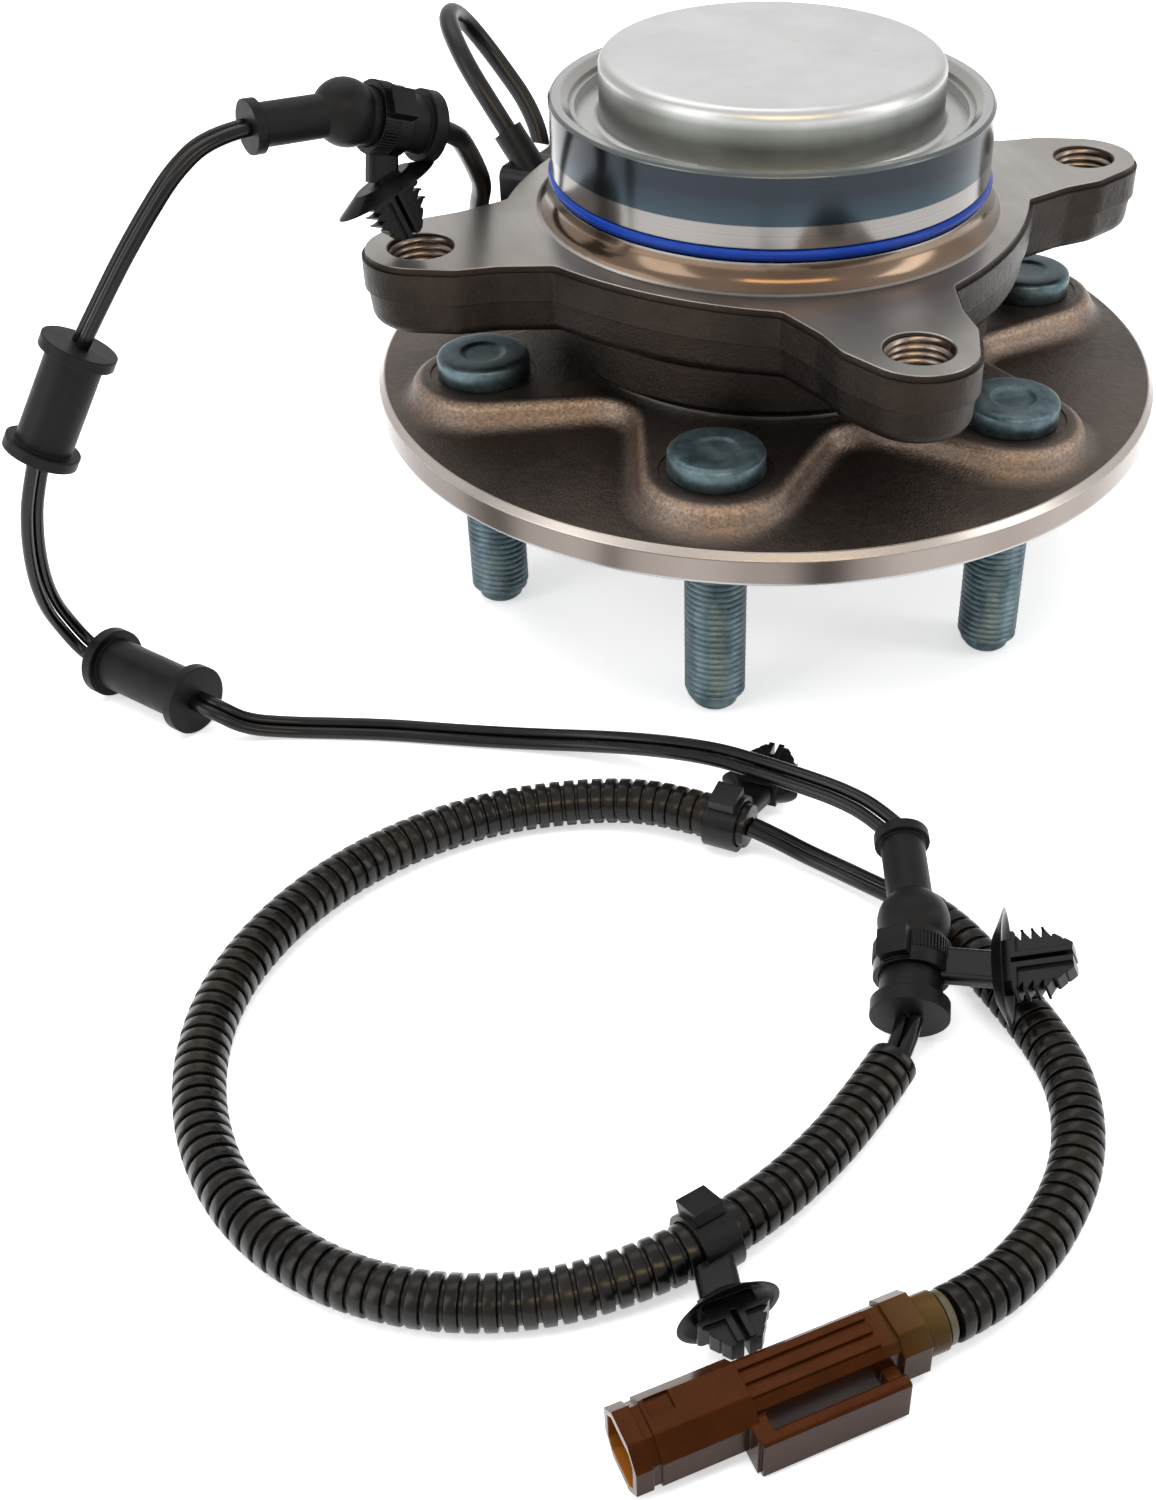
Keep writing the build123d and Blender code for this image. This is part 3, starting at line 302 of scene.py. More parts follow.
def metal(name, light, dark, rough=0.3, grain=300.0, metallic=1.0, depth=0.06, edge=0.2):
    """Plain metal with faint mottling."""
    shader = Shader(name)
    cloud = shader.noise(grain, 5, 0.6)
    shader.set(Base_Color=shader.mix(cloud, dark, light), Metallic=metallic)
    shader.set(Roughness=shader.ramp(cloud, 0.3, 0.7, rough - 0.05, rough + 0.08))
    shader.bump(cloud, 0.25, depth * MM, edge * MM)
    return shader.material


def zinc_stud_material():
    """Blue passivated zinc with paler rubbed patches."""
    shader = Shader("zinc_stud")
    cloud = shader.noise(150, 6, 0.7)
    fine = shader.noise(1100, 4, 0.7)
    colour = shader.mix(shader.ramp(cloud, 0.36, 0.64), (0.046, 0.076, 0.090), (0.125, 0.175, 0.190))
    colour = shader.mix(shader.times(shader.ramp(fine, 0.60, 0.75), 0.45), colour, (0.27, 0.32, 0.33))
    shader.set(Base_Color=colour, Metallic=0.85)
    shader.set(Roughness=shader.ramp(cloud, 0.3, 0.7, 0.34, 0.50))
    shader.bump(fine, 0.35, 0.06 * MM, 0.25 * MM)
    return shader.material


def plastic(name, colour, rough=0.35, grain=900.0, depth=0.05, coat=0.0, edge=0.3, wear_and_shade=None, shine=0.5):
    """Moulded plastic or rubber with a fine skin."""
    shader = Shader(name)
    skin = shader.noise(grain, 4, 0.6)
    cloud = shader.noise(grain * 0.12, 4, 0.6)
    lighter = wear_and_shade or tuple(min(1.0, part * 1.8 + 0.002) for part in colour)
    shader.set(Base_Color=shader.mix(shader.ramp(cloud, 0.35, 0.75), colour, lighter))
    shader.set(Roughness=shader.ramp(cloud, 0.3, 0.7, rough - 0.06, rough + 0.08))
    shader.set(Coat_Weight=coat, Coat_Roughness=0.12, Specular_IOR_Level=shine)
    shader.bump(skin, 0.3, depth * MM, edge * MM)
    return shader.material


PLUG_CORE = (4.82 * MM, 4.92 * MM)       # half width of the plug's inner walls
PLUG_CORNER = (7.9 * MM, 8.1 * MM)
PLUG_MOUTH = (38 * MM, 52 * MM)          # along the plug, from its rear collar
PLUG_REAR = (1 * MM, 12 * MM)


def brown_plastic():
    """Translucent brown plug: a painted amber glow inside the mouth, standing in for light through its thin
    walls; olive towards the rear collar.
    """
    shader = Shader("connector_brown")
    cloud = shader.noise(180, 4, 0.6)
    colour = shader.mix(cloud, (0.022, 0.0048, 0.0011), (0.050, 0.0130, 0.0026))
    turn = math.radians(180 + PLUG_YAW)
    forward = (math.cos(turn), math.sin(turn), 0.0)
    sideways = (-math.sin(turn), math.cos(turn), 0.0)
    reach = shader.along(PLUG_AT, forward)
    side = shader.math("ABSOLUTE", shader.along(PLUG_AT, sideways))
    height = shader.math("ABSOLUTE", shader.along(PLUG_AT, (0, 0, 1)))
    core = shader.ramp(shader.math("MAXIMUM", side, height), *PLUG_CORE, 1.0, 0.0)
    chamfer = shader.ramp(shader.math("ADD", side, height), *PLUG_CORNER, 1.0, 0.0)
    core = shader.times(core, chamfer)
    # painted light: the inner walls in the mouth are painted a bright amber, as if lit through the thin
    # plastic
    mouth = shader.times(core, shader.ramp(reach, *PLUG_MOUTH))
    colour = shader.mix(mouth, colour, (0.27, 0.092, 0.012))
    colour = shader.mix(shader.ramp(reach, *PLUG_REAR, 0.75, 0.0), colour, (0.070, 0.046, 0.015))
    shader.set(Base_Color=colour, Roughness=0.20, IOR=1.18, Subsurface_Weight=0.12)
    shader.set(Specular_Tint=(1.0, 0.62, 0.40), Subsurface_Scale=2.0 * MM, Subsurface_Radius=(1.0, 0.35, 0.1))
    shader.bump(shader.noise(700, 3), 0.2, 0.06 * MM, 0.4 * MM)
    return shader.material


CAP_WALL_Z = (77.4 * MM, 74.5 * MM)      # painted shade: the wall darkens downwards between these
CAP_FOOT_Z = (70.5 * MM, 66.0 * MM)
CAP_CORNER_Z = (76.6 * MM, 78.1 * MM)
CAP_CORNER_EDGE = 0.35 * MM


def cap_material():
    """Zinc sheet: pale satin top with faint drawing marks, painted shade darkening the wall, and painted
    shade in mottled patches on the rounded corner.
    """
    shader = Shader("zinc_sheet")
    _, z = shader.place_parts()
    cloud = shader.noise(45, 5, 0.6)
    rolled = shader.noise(420, 4, 0.7, stretch=(0.2, 1.0, 1.0))
    colour = shader.mix(shader.ramp(cloud, 0.35, 0.7), (0.53, 0.535, 0.53), (0.62, 0.62, 0.62))
    wall = shader.ramp(z, *CAP_WALL_Z)
    foot = shader.ramp(z, *CAP_FOOT_Z)
    # painted shade: a darker greenish grey on the wall, fading back to pale zinc towards the foot
    painted_wall_shade = shader.mix(shader.ramp(cloud, 0.3, 0.7), (0.17, 0.18, 0.165), (0.28, 0.29, 0.27))
    corner = shader.between(z, *CAP_CORNER_Z, CAP_CORNER_EDGE)
    colour = shader.mix(wall, colour, shader.mix(foot, painted_wall_shade, (0.50, 0.505, 0.49)))
    # painted shade: the rounded corner is darkened in mottled patches
    wear_and_shade = shader.times(corner, shader.ramp(cloud, 0.4, 0.6, 0.5, 1.0))
    colour = shader.mix(wear_and_shade, colour, (0.40, 0.40, 0.39))
    shader.set(Base_Color=colour, Metallic=1.0)
    shader.set(Roughness=shader.ramp(rolled, 0.3, 0.7, 0.34, 0.44))
    shader.bump(rolled, 0.08, 0.03 * MM)
    return shader.material


MATERIALS = {
    "forged_steel_hub": wheel_flange_material(),
    "forged_steel_ring": outer_ring_material(),
    "bearing_steel": metal("bearing_steel", (0.66, 0.66, 0.68), (0.52, 0.52, 0.54), 0.18),
    "zinc_stud": zinc_stud_material(),
    "sintered_steel": metal("sintered_steel", (0.42, 0.42, 0.43), (0.26, 0.26, 0.27), 0.42),
    "stainless_sheet": metal("stainless_sheet", (0.26, 0.255, 0.25), (0.17, 0.165, 0.16), 0.35),
    "nitrile_rubber": plastic("nitrile_rubber", (0.008, 0.008, 0.008), 0.6),
    "blue_rubber": plastic("blue_rubber", (0.0005, 0.028, 0.24), 0.34, wear_and_shade=(0.001, 0.045, 0.34), shine=0.2),
    "ball_steel": metal("ball_steel", (0.80, 0.80, 0.82), (0.74, 0.74, 0.76), 0.08),
    "cage_nylon": plastic("cage_nylon", (0.52, 0.46, 0.34), 0.5, wear_and_shade=(0.60, 0.54, 0.42)),
    "zinc_sheet": cap_material(),
    "sensor_plastic": plastic("sensor_plastic", (0.0035, 0.0035, 0.0038), 0.40, shine=0.22),
    "zinc_fastener": metal("zinc_fastener", (0.72, 0.70, 0.64), (0.52, 0.50, 0.46), 0.28),
    "grommet_rubber": plastic("grommet_rubber", (0.0024, 0.0022, 0.0021), 0.46, 1400, 0.09,
                              edge=0.6, shine=0.15),
    "clip_nylon": plastic("clip_nylon", (0.0018, 0.0018, 0.0020), 0.30, shine=0.18),
    "wire_sleeve": plastic("wire_sleeve", (0.0018, 0.0018, 0.0020), 0.22, coat=0.05, shine=0.22),
    "cable_jacket": plastic("cable_jacket", (0.0026, 0.0024, 0.0022), 0.32, shine=0.24),
    "conduit_plastic": plastic("conduit_plastic", (0.0020, 0.0018, 0.0017), 0.24,
                               shine=0.21, wear_and_shade=(0.010, 0.007, 0.004)),
    # the ear threads' steel is brownish, and darkened further as painted shade of the holes they sit in
    "thread_steel": metal("thread_steel", (0.30, 0.25, 0.21), (0.13, 0.10, 0.085), 0.30),
    "connector_brown": brown_plastic(),
    "connector_seal_rubber": plastic("connector_seal_rubber", (0.030, 0.026, 0.010), 0.4),
    "tinned_terminal": metal("tinned_terminal", (0.72, 0.70, 0.62), (0.60, 0.58, 0.50), 0.25),
}

slot_of = {entry["node"]: entry["material_slot"] for entry in frame["record"]["subparts"]}
for node_name, node_object in frame["nodes"].items():
    node_object.data.materials.clear()
    node_object.data.materials.append(MATERIALS[slot_of[node_name]])


# ---------------------------------------------------------------- mesh helper
def mesh_object(name, points, faces, slot_name, smooth=True):
    mesh = bpy.data.meshes.new(name)
    mesh.from_pydata([tuple(point) for point in points], [], faces)
    mesh.update()
    for face in mesh.polygons:
        face.use_smooth = smooth
    made = bpy.data.objects.new(name, mesh)
    bpy.context.collection.objects.link(made)
    made.data.materials.append(MATERIALS[slot_name])
    return made


def lathe(profile, segments=48):
    """Points and faces of an outline (radius, height) turned about Z."""
    points, faces = [], []
    for radius, height in profile:
        for step in range(segments):
            angle = 2 * math.pi * step / segments
            points.append(Vector((radius * math.cos(angle), radius * math.sin(angle), height)))
    for ring in range(len(profile) - 1):
        for step in range(segments):
            after = (step + 1) % segments
            a = ring * segments
            b = a + segments
            faces.append((a + step, a + after, b + after, b + step))
    return points, faces


# ---------------------------------------------------------------- wheel studs
STUD_COUNT = 6
STUD_CIRCLE_R = 69.85 * MM
THREAD_R = 7.0 * MM
THREAD_ROOT_R = 6.15 * MM
THREAD_PITCH = 1.5 * MM
STUD_TIP = -46.65 * MM
THREAD_END = -43.4 * MM
THREAD_START = -1.0 * MM
THREAD_STEPS = 40                        # steps in one turn
THREAD_SECTION = ((0.02, 0.0), (0.40, 1.0), (0.60, 1.0), (0.98, 0.0))    # share of a turn, rise
KNURL_R = 7.2 * MM
HEAD_R = 10.6 * MM
HEAD_BOTTOM = 13.2 * MM
HEAD_TOP = 18.6 * MM


def helix(top, bottom, root, crest, points, faces):
    """One thread turn after another between two heights, appended to points and faces."""
    steps = int((top - bottom) / THREAD_PITCH * THREAD_STEPS)
    first = len(points)
    for step in range(steps + 1):
        angle = 2 * math.pi * step / THREAD_STEPS
        height = top - THREAD_PITCH * step / THREAD_STEPS
        fade = min(1.0, step / 12, (steps - step) / 30)
        for share, rise in THREAD_SECTION:
            radius = root + (crest - root) * rise * fade
            points.append(Vector((radius * math.cos(angle), radius * math.sin(angle),
                                  height - share * THREAD_PITCH)))
    for step in range(steps):
        for side in range(3):
            a = first + step * 4 + side
            faces.append((a, a + 1, a + 5, a + 4))


def stud_mesh():
    profile = [(0, STUD_TIP), (4.5 * MM, STUD_TIP), (5.2 * MM, STUD_TIP + 0.7 * MM), (5.3 * MM, -43.9 * MM),
               (THREAD_ROOT_R, THREAD_END), (THREAD_ROOT_R, THREAD_START), (KNURL_R, -0.2 * MM),
               (KNURL_R, 13.1 * MM), (10.2 * MM, HEAD_BOTTOM), (HEAD_R, HEAD_BOTTOM + 0.4 * MM),
               (HEAD_R, 17.5 * MM), (10.3 * MM, 18.1 * MM), (9.6 * MM, 18.5 * MM), (8.8 * MM, HEAD_TOP),
               (5.4 * MM, HEAD_TOP), (5.0 * MM, 18.5 * MM), (4.7 * MM, 18.2 * MM), (3.6 * MM, 18.05 * MM),
               (0, 18.0 * MM)]
    points, faces = lathe(profile)
    helix(THREAD_START, THREAD_END, THREAD_ROOT_R, THREAD_R, points, faces)
    return points, faces


def wheel_studs():
    stud_points, stud_faces = stud_mesh()
    points, faces = [], []
    for step in range(STUD_COUNT):
        angle = 2 * math.pi * step / STUD_COUNT
        place = Matrix.Translation((STUD_CIRCLE_R * math.cos(angle), STUD_CIRCLE_R * math.sin(angle), 0))
        turn = Matrix.Rotation(random.uniform(0, 6.28), 4, "Z")
        first = len(points)
        points += [place @ turn @ point for point in stud_points]
        faces += [tuple(first + index for index in face) for face in stud_faces]
    studs = mesh_object("threaded_studs", points, faces, "zinc_stud")
    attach(studs, "hub")
    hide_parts("wheel_studs")


wheel_studs()


# ---------------------------------------------------------------- ear threads and strap teeth
EAR_CIRCLE_R = 81.75 * MM
EAR_HOLE_R = 7.0 * MM
EAR_THREAD_CREST_R = 6.2 * MM
EAR_COUNT = 4
EAR_THREAD_TOP = 44.9 * MM
EAR_THREAD_BOTTOM = 29.9 * MM


def ear_threads():
    points, faces = [], []
    for step in range(EAR_COUNT):
        angle = 2 * math.pi * step / EAR_COUNT
        turned, made = [], []
        helix(EAR_THREAD_TOP, EAR_THREAD_BOTTOM, EAR_HOLE_R, EAR_THREAD_CREST_R, turned, made)
        place = Matrix.Translation((EAR_CIRCLE_R * math.cos(angle), EAR_CIRCLE_R * math.sin(angle), 0))
        first = len(points)
        points += [place @ point for point in turned]
        faces += [tuple(first + index for index in face) for face in made]
    threads = mesh_object("ear_threads", points, faces, "thread_steel")
    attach(threads, "stationary")


ear_threads()


# the clip straps on the two bent grommets: middle, direction, outer radius
STRAP_1 = (Vector((-86.36, 4.58, 72.10)) * MM, Vector((18.7, 6.0, -7.2)).normalized())
STRAP_4 = (Vector((-34.14, -166.24, -35.43)) * MM, Vector((-8.7, -18.0, -5.3)).normalized())
STRAP_R = 7.25 * MM
STRAP_TEETH = 64
STRAP_BACK = 3.2 * MM                    # toothed half, from the middle each way
STRAP_FRONT = 0.4 * MM
TOOTH_OUTLINE = ((0.0, -0.3 * MM), (0.22, 0.3 * MM), (0.5, 0.3 * MM), (0.72, -0.3 * MM))


def strap_teeth(name, middle, axis):
    """Fine teeth across one half of a clip's strap."""
    across = axis.cross(Vector((0, 0, 1))).normalized()
    up = axis.cross(across)
    points, faces = [], []
    for tooth in range(STRAP_TEETH):
        first = len(points)
        for turn, reach in TOOTH_OUTLINE:
            angle = 2 * math.pi * (tooth + turn) / STRAP_TEETH
            out = (across * math.cos(angle) + up * math.sin(angle)) * (STRAP_R + reach)
            points += [middle + out - axis * STRAP_BACK, middle + out + axis * STRAP_FRONT]
        for side in (0, 2, 4):
            a = first + side
            faces.append((a, a + 1, a + 3, a + 2))
        faces.append((first, first + 2, first + 4, first + 6))
        faces.append((first + 7, first + 5, first + 3, first + 1))
    made = mesh_object(name, points, faces, "clip_nylon", smooth=False)
    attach(made, "stationary")


strap_teeth("strap_teeth_1", *STRAP_1)
strap_teeth("strap_teeth_4", *STRAP_4)


# ---------------------------------------------------------------- cords
def metres(route):
    return [Vector(point) * MM for point in route]


def beside(route, across, side):
    """Route of one wire of a pair, side away from the middle line; across starts the direction."""
    across = Vector(across)
    shifted = []
    for index, point in enumerate(route):
        before = route[max(index - 1, 0)]
        after = route[min(index + 1, len(route) - 1)]
        along = (after - before).normalized()
        across = (across - along * across.dot(along)).normalized()
        shifted.append(point + across * side)
    return shifted


def spline(name, route, radius=0.0):
    """Smooth NURBS curve with the route's points as its control points."""
    curve = bpy.data.curves.new(name, "CURVE")
    curve.dimensions = "3D"
    line = curve.splines.new("NURBS")
    line.points.add(len(route) - 1)
    for control, point in zip(line.points, route):
        control.co = (*point, 1.0)
    line.order_u = 3
    line.use_endpoint_u = True
    line.resolution_u = 16
    curve.bevel_depth = radius
    curve.bevel_resolution = 6
    curve.use_fill_caps = True
    made = bpy.data.objects.new(name, curve)
    bpy.context.collection.objects.link(made)
    return made


def read_line(route):
    """Points along the route's smooth curve, close together."""
    guide = spline("guide", route)
    mesh = bpy.data.meshes.new_from_object(guide)
    points = [vertex.co.copy() for vertex in mesh.vertices]
    bpy.data.objects.remove(guide)
    bpy.data.meshes.remove(mesh)
    return points


def length_of(points):
    return sum((b - a).length for a, b in zip(points, points[1:]))


def walk(points, spacing):
    """Frames (place, along, side, up) every spacing along a line, turned as little as possible."""
    total = length_of(points)
    count = max(2, int(round(total / spacing)))
    step = total / count
    frames = []
    side = None
    reached, index = 0.0, 0
    for number in range(count + 1):
        target = min(number * step, total - 1e-9)
        while index < len(points) - 2 and reached + (points[index + 1] - points[index]).length < target:
            reached += (points[index + 1] - points[index]).length
            index += 1
        run = points[index + 1] - points[index]
        place = points[index] + run.normalized() * (target - reached)
        before = points[max(index - 1, 0)]
        after = points[min(index + 2, len(points) - 1)]
        along = (after - before).normalized()
        if side is None:
            side = along.cross(Vector((0, 0, 1))).normalized()
        side = (side - along * side.dot(along)).normalized()
        frames.append((place, along, side, along.cross(side)))
    return frames


CABLE_ROUTE = metres((
    (-49.1, 47.4, 51.0), (-52.0, 50.4, 56.6), (-55.2, 55.6, 63.0), (-56.6, 62.5, 67.6), (-56.5, 70.5, 70.6),
    (-53.6, 78.3, 70.4), (-49.5, 83.6, 66.6), (-45.2, 84.6, 61.0), (-40.6, 81.0, 54.0), (-36.6, 75.8, 47.2),
    (-34.6, 71.3, 39.8), (-35.6, 67.6, 32.8), (-40.2, 63.6, 27.6), (-47.6, 58.6, 25.0), (-54.8, 51.2, 27.2),
    (-59.0, 42.4, 32.6), (-60.4, 34.0, 39.4), (-60.6, 27.6, 46.4), (-63.4, 21.4, 53.2), (-66.6, 15.4, 59.8),
    (-69.6, 10.0, 65.2), (-75.7, 8.0, 68.0)))
LOOP_ROUTE = metres((
    (-115.3, -4.0, 76.5), (-123.4, -6.3, 76.2), (-131.2, -8.2, 71.2), (-137.6, -9.6, 64.2),
    (-143.9, -10.4, 56.4), (-149.6, -10.6, 48.4), (-156.2, -10.0, 38.4)))
DROP_ROUTE = metres((
    (-169.1, -10.8, 15.7), (-172.7, -10.6, 6.4), (-174.6, -9.4, -2.8), (-175.5, -7.8, -11.2),
    (-175.6, -6.0, -18.6), (-174.8, -4.2, -25.4), (-173.0, -2.6, -31.4), (-170.6, -3.4, -36.4),
    (-168.2, -5.8, -38.75), (-165.4, -9.6, -38.75)))
FLOOR_ROUTE = metres((
    (-148.5, -32.5, -38.75), (-145.0, -37.2, -38.75), (-139.4, -39.0, -43.05),
    (-130.6, -40.4, -45.15), (-120.0, -44.6, -45.15), (-109.2, -49.0, -45.15),
    (-98.0, -54.6, -45.15), (-86.8, -60.3, -44.95), (-76.4, -65.9, -44.25),
    (-67.2, -72.3, -42.45), (-59.4, -80.0, -39.65), (-53.0, -88.6, -36.25),
    (-47.2, -97.6, -33.05), (-41.6, -107.0, -30.85), (-36.0, -115.6, -29.45),
    (-30.6, -123.4, -28.65), (-26.6, -130.6, -28.65), (-24.0, -138.1, -29.65)))
STUB_ROUTE = metres(((-39.1, -176.5, -38.45), (-41.4, -179.6, -40.05), (-44.6, -182.4, -41.9)))
CONDUIT_1_ROUTE = metres((
    (-44.6, -182.4, -41.9), (-54.5, -190.6, -41.9), (-67.5, -199.4, -41.9),
    (-82.0, -207.0, -40.6), (-99.0, -211.6, -40.6), (-119.0, -211.0, -41.9),
    (-137.5, -204.6, -41.9), (-152.3, -193.0, -41.9), (-161.8, -177.5, -41.9),
    (-165.6, -160.0, -41.9), (-164.2, -142.0, -41.9), (-157.9, -125.0, -41.9),
    (-146.4, -110.4, -41.9), (-131.0, -98.8, -41.9), (-113.0, -91.6, -41.9),
    (-95.0, -89.2, -41.9), (-78.0, -91.4, -41.9), (-64.6, -97.4, -40.6),
    (-54.0, -106.2, -40.6), (-46.2, -113.3, -40.6)))
LINK_ROUTE = metres((
    (-46.2, -113.3, -40.6), (-42.0, -117.1, -41.85), (-37.6, -122.0, -43.25),
    (-32.6, -128.6, -43.65), (-28.4, -136.0, -43.05), (-25.4, -142.4, -41.9), (-23.0, -147.9, -41.9)))
CONDUIT_2_ROUTE = metres((
    (-23.0, -147.9, -41.9), (-20.4, -154.0, -41.9), (-18.6, -163.0, -41.9),
    (-17.2, -174.0, -41.9), (-16.2, -186.0, -41.9), (-16.6, -197.0, -41.9),
    (-20.4, -208.0, -41.9), (-26.8, -217.6, -41.9), (-35.4, -225.4, -41.9),
    (-42.95, -230.3, -41.9), (-51.5, -234.4, -41.05), (-60.0, -236.23, -40.25)))
CABLE_R = 2.3 * MM
WIRE_R = 1.35 * MM
WIRE_SPREAD = 1.45 * MM
CONDUIT_R = 4.75 * MM
VALLEY_R = 3.85 * MM
RIDGE_PITCH = 2.95 * MM
RIDGE_LIP = 0.16 * MM                    # rounding of a ridge's edges
RIDGE_STEPS = 24                         # line frames for each ridge
RIDGE_SECTION = (                        # share of a ridge, radius
    (0.0, VALLEY_R), (0.17, VALLEY_R), (0.21, CONDUIT_R - RIDGE_LIP), (0.27, CONDUIT_R),
    (0.85, CONDUIT_R), (0.92, CONDUIT_R - RIDGE_LIP), (0.96, VALLEY_R))
CONDUIT_SIDES = 28
SLIT_SIDE = 3
SLIT_DEPTH = 0.5 * MM
LEVEL = (0, 1, 0)
SKEW = (0.8, 0.6, 0)


def plain_cord(name, node, route, radius, slot_name):
    made = spline(name, route, radius)
    made.data.materials.append(MATERIALS[slot_name])
    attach(made, "stationary")
    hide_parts(node)
    return made


def wire_pair(number, route, across):
    """Both wires of one stretch, a and b."""
    made = []
    for letter, side in (("a", WIRE_SPREAD), ("b", -WIRE_SPREAD)):
        name = "wire_" + letter + "_" + number
        strand = "strand_" + letter + "_" + number
        made.append(plain_cord(strand, name, beside(route, across, side), WIRE_R, "wire_sleeve"))
    return made


def conduit(name, node, route):
    """Corrugated split conduit: square ridges and valleys along the line, and a lengthwise slit."""
    line = read_line(route)
    total = length_of(line)
    ridges = int(total / RIDGE_PITCH)
    fine = walk(line, total / ridges / RIDGE_STEPS)
    points, faces = [], []
    rows = 0
    for ridge in range(ridges):
        for share, radius in RIDGE_SECTION:
            place, _, side, up = fine[int(round((ridge + share) * RIDGE_STEPS))]
            for step in range(CONDUIT_SIDES):
                angle = 2 * math.pi * step / CONDUIT_SIDES
                reach = radius - (SLIT_DEPTH if step == SLIT_SIDE else 0.0)
                points.append(place + side * (reach * math.cos(angle)) + up * (reach * math.sin(angle)))
            rows += 1
    for row in range(rows - 1):
        for step in range(CONDUIT_SIDES):
            after = (step + 1) % CONDUIT_SIDES
            a = row * CONDUIT_SIDES
            b = a + CONDUIT_SIDES
            faces.append((a + step, a + after, b + after, b + step))
    faces.append(tuple(reversed(range(CONDUIT_SIDES))))
    faces.append(tuple(range((rows - 1) * CONDUIT_SIDES, rows * CONDUIT_SIDES)))
    made = mesh_object(name, points, faces, "conduit_plastic")
    made.data.set_sharp_from_angle(angle=math.radians(38))
    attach(made, "stationary")
    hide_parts(node)
    return made, line


cable = plain_cord("cable", "sensor_cable", CABLE_ROUTE, CABLE_R, "cable_jacket")
loop_wires = wire_pair("1", LOOP_ROUTE, LEVEL)
drop_wires = wire_pair("2", DROP_ROUTE, SKEW)
floor_wires = wire_pair("3", FLOOR_ROUTE, SKEW)
stub_wires = wire_pair("4", STUB_ROUTE, LEVEL)
link_wires = wire_pair("5", LINK_ROUTE, LEVEL)
long_conduit, long_line = conduit("ribbed_conduit_1", "conduit_1", CONDUIT_1_ROUTE)
short_conduit, short_line = conduit("ribbed_conduit_2", "conduit_2", CONDUIT_2_ROUTE)


# ---------------------------------------------------------------- stage, light and camera
def area_light(name, place, target, width, height, power, colour, misses):
    """Soft lamp aimed at a target; misses names a kind of ray that doesn't see it."""
    data = bpy.data.lights.new(name, "AREA")
    data.shape = "RECTANGLE"
    data.size = width
    data.size_y = height
    data.energy = power
    data.color = colour
    made = bpy.data.objects.new(name, data)
    bpy.context.collection.objects.link(made)
    made.location = place
    made.rotation_euler = (Vector(target) - Vector(place)).to_track_quat("-Z", "Y").to_euler()
    if misses:
        setattr(made, misses, False)


PAPER_REACH = 6.0
PAPER_NEAR = 0.35                        # the paper turns pure white between these distances
PAPER_FAR = 0.80
LAMPS = (                                # name, place, target, width, height, power, colour, what it misses
    ("top_fill", (-0.1, 0.0, 1.1), (0, 0, 0), 1.2, 1.2, 22, (1, 1, 1), "visible_glossy"),
    ("top_softbox", (-0.15, 0.60, 1.1), (-0.15, 0.60, 0), 1.1, 0.62, 3.5, (1, 1, 1), None),
    ("left_softbox", (-1.0, -0.25, 0.45), (0, 0, 0), 0.5, 0.9, 4, (1, 1, 1), None),
    ("right_softbox", (0.85, -0.55, 0.5), (0, 0, 0), 0.35, 0.9, 3.5, (1, 1, 1), None),
    ("warm_reflector", (-0.2, -1.0, 0.9), (0, -0.05, 0), 0.9, 0.25, 5, (1.0, 0.70, 0.34), "visible_diffuse"),
)


def paper():
    """Pale floor: white to camera, glossy and transmission rays, and clear from below."""
    floor_shader = Shader("paper_floor")
    path = floor_shader.node("ShaderNodeLightPath")
    from_camera = path.outputs["Is Camera Ray"]
    seen = floor_shader.math("MAXIMUM", from_camera, path.outputs["Is Glossy Ray"])
    seen = floor_shader.math("MAXIMUM", seen, path.outputs["Is Transmission Ray"])
    floor_shader.set(Base_Color=floor_shader.mix(seen, (0.30, 0.30, 0.31), (0.95, 0.95, 0.95)))
    floor_shader.set(Roughness=0.8, Specular_IOR_Level=0.1, Emission_Color=(1, 1, 1))
    away, _ = floor_shader.place_parts()
    glow = floor_shader.ramp(away, PAPER_NEAR, PAPER_FAR, 0.55, 1.0)
    floor_shader.set(Emission_Strength=floor_shader.times(seen, glow))
    below = floor_shader.node("ShaderNodeNewGeometry").outputs["Backfacing"]
    floor_shader.set(Alpha=floor_shader.rest_of(floor_shader.times(below, from_camera)))
    mesh = bpy.data.meshes.new("paper")
    corners = [(PAPER_REACH * x, PAPER_REACH * y, 0) for x, y in ((-1, -1), (1, -1), (1, 1), (-1, 1))]
    mesh.from_pydata(corners, [], [(0, 1, 2, 3)])
    floor = bpy.data.objects.new("paper", mesh)
    floor.location.z = box_at_load[0][2] - 0.02 * MM
    floor.data.materials.append(floor_shader.material)
    bpy.context.collection.objects.link(floor)


ROOM_COLOUR = (0.80, 0.82, 0.85, 1)
ROOM_STRENGTH = 0.32
WHITE = (1, 1, 1, 1)


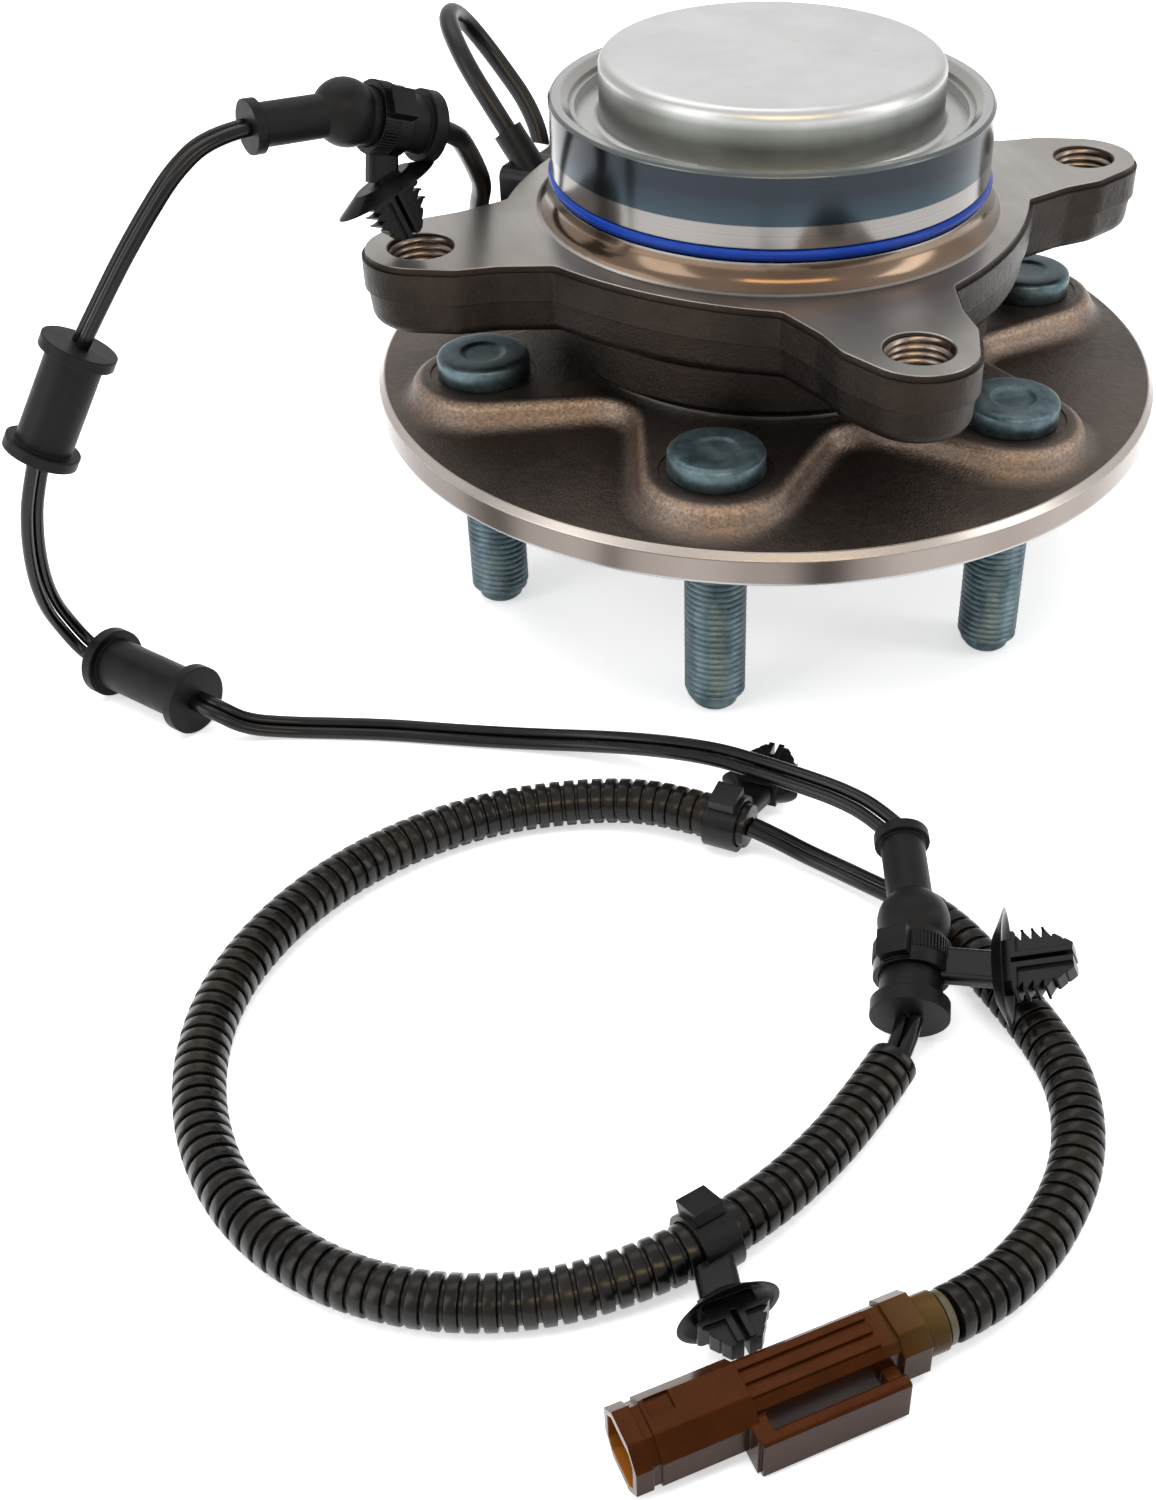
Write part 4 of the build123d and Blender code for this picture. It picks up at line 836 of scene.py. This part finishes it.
def backdrop():
    """Dim room for the object's light, white where the background is seen or mirrored."""
    world = bpy.data.worlds.new("studio")
    bpy.context.scene.world = world
    world.use_nodes = True
    tree = world.node_tree
    tree.nodes.clear()
    out = tree.nodes.new("ShaderNodeOutputWorld")
    choice = tree.nodes.new("ShaderNodeMixShader")
    room = tree.nodes.new("ShaderNodeBackground")
    white = tree.nodes.new("ShaderNodeBackground")
    path = tree.nodes.new("ShaderNodeLightPath")
    room.inputs[0].default_value = ROOM_COLOUR
    room.inputs[1].default_value = ROOM_STRENGTH
    white.inputs[0].default_value = WHITE
    white.inputs[1].default_value = 1.0
    seen = path.outputs["Is Camera Ray"]
    for ray in ("Is Glossy Ray", "Is Transmission Ray"):
        either = tree.nodes.new("ShaderNodeMath")
        either.operation = "MAXIMUM"
        tree.links.new(seen, either.inputs[0])
        tree.links.new(path.outputs[ray], either.inputs[1])
        seen = either.outputs[0]
    tree.links.new(seen, choice.inputs[0])
    tree.links.new(room.outputs[0], choice.inputs[1])
    tree.links.new(white.outputs[0], choice.inputs[2])
    tree.links.new(choice.outputs[0], out.inputs[0])


# camera of the photo, fitted to the flange, the ring and the cap; lengths in its pixels
FOCAL_PX = 1863.3
PRINCIPAL = (720.0, 790.0)
IMAGE = (1156, 1500)
SENSOR_MM = 36.0
CAMERA_AT = Vector((-156.284, -389.076, 210.032)) * MM
CAMERA_AZIMUTH = math.radians(20.5026)
CAMERA_DROP = math.radians(39.059)
CAMERA_ROLL = math.radians(0.531)


def camera():
    data = bpy.data.cameras.new("camera")
    made = bpy.data.objects.new("camera", data)
    bpy.context.collection.objects.link(made)
    bpy.context.scene.camera = made
    drop = Matrix(((1, 0, 0), (0, -math.sin(CAMERA_DROP), -math.cos(CAMERA_DROP)),
                   (0, math.cos(CAMERA_DROP), -math.sin(CAMERA_DROP))))
    to_camera = Matrix.Rotation(CAMERA_ROLL, 3, "Z") @ drop @ Matrix.Rotation(CAMERA_AZIMUTH, 3, "Z")
    flip = Matrix(((1, 0, 0), (0, -1, 0), (0, 0, -1)))
    turn = (flip @ to_camera).transposed().to_4x4()
    made.matrix_world = Matrix.Translation(CAMERA_AT) @ turn
    data.sensor_fit = "AUTO"
    data.sensor_width = SENSOR_MM
    data.lens = FOCAL_PX * SENSOR_MM / IMAGE[1]
    data.shift_x = (IMAGE[0] / 2 - PRINCIPAL[0]) / IMAGE[1]
    data.shift_y = (PRINCIPAL[1] - IMAGE[1] / 2) / IMAGE[1]
    data.clip_start = 0.01
    data.clip_end = 50.0


paper()
backdrop()
for lamp in LAMPS:
    area_light(*lamp)
camera()
bpy.context.scene.view_settings.view_transform = "Standard"
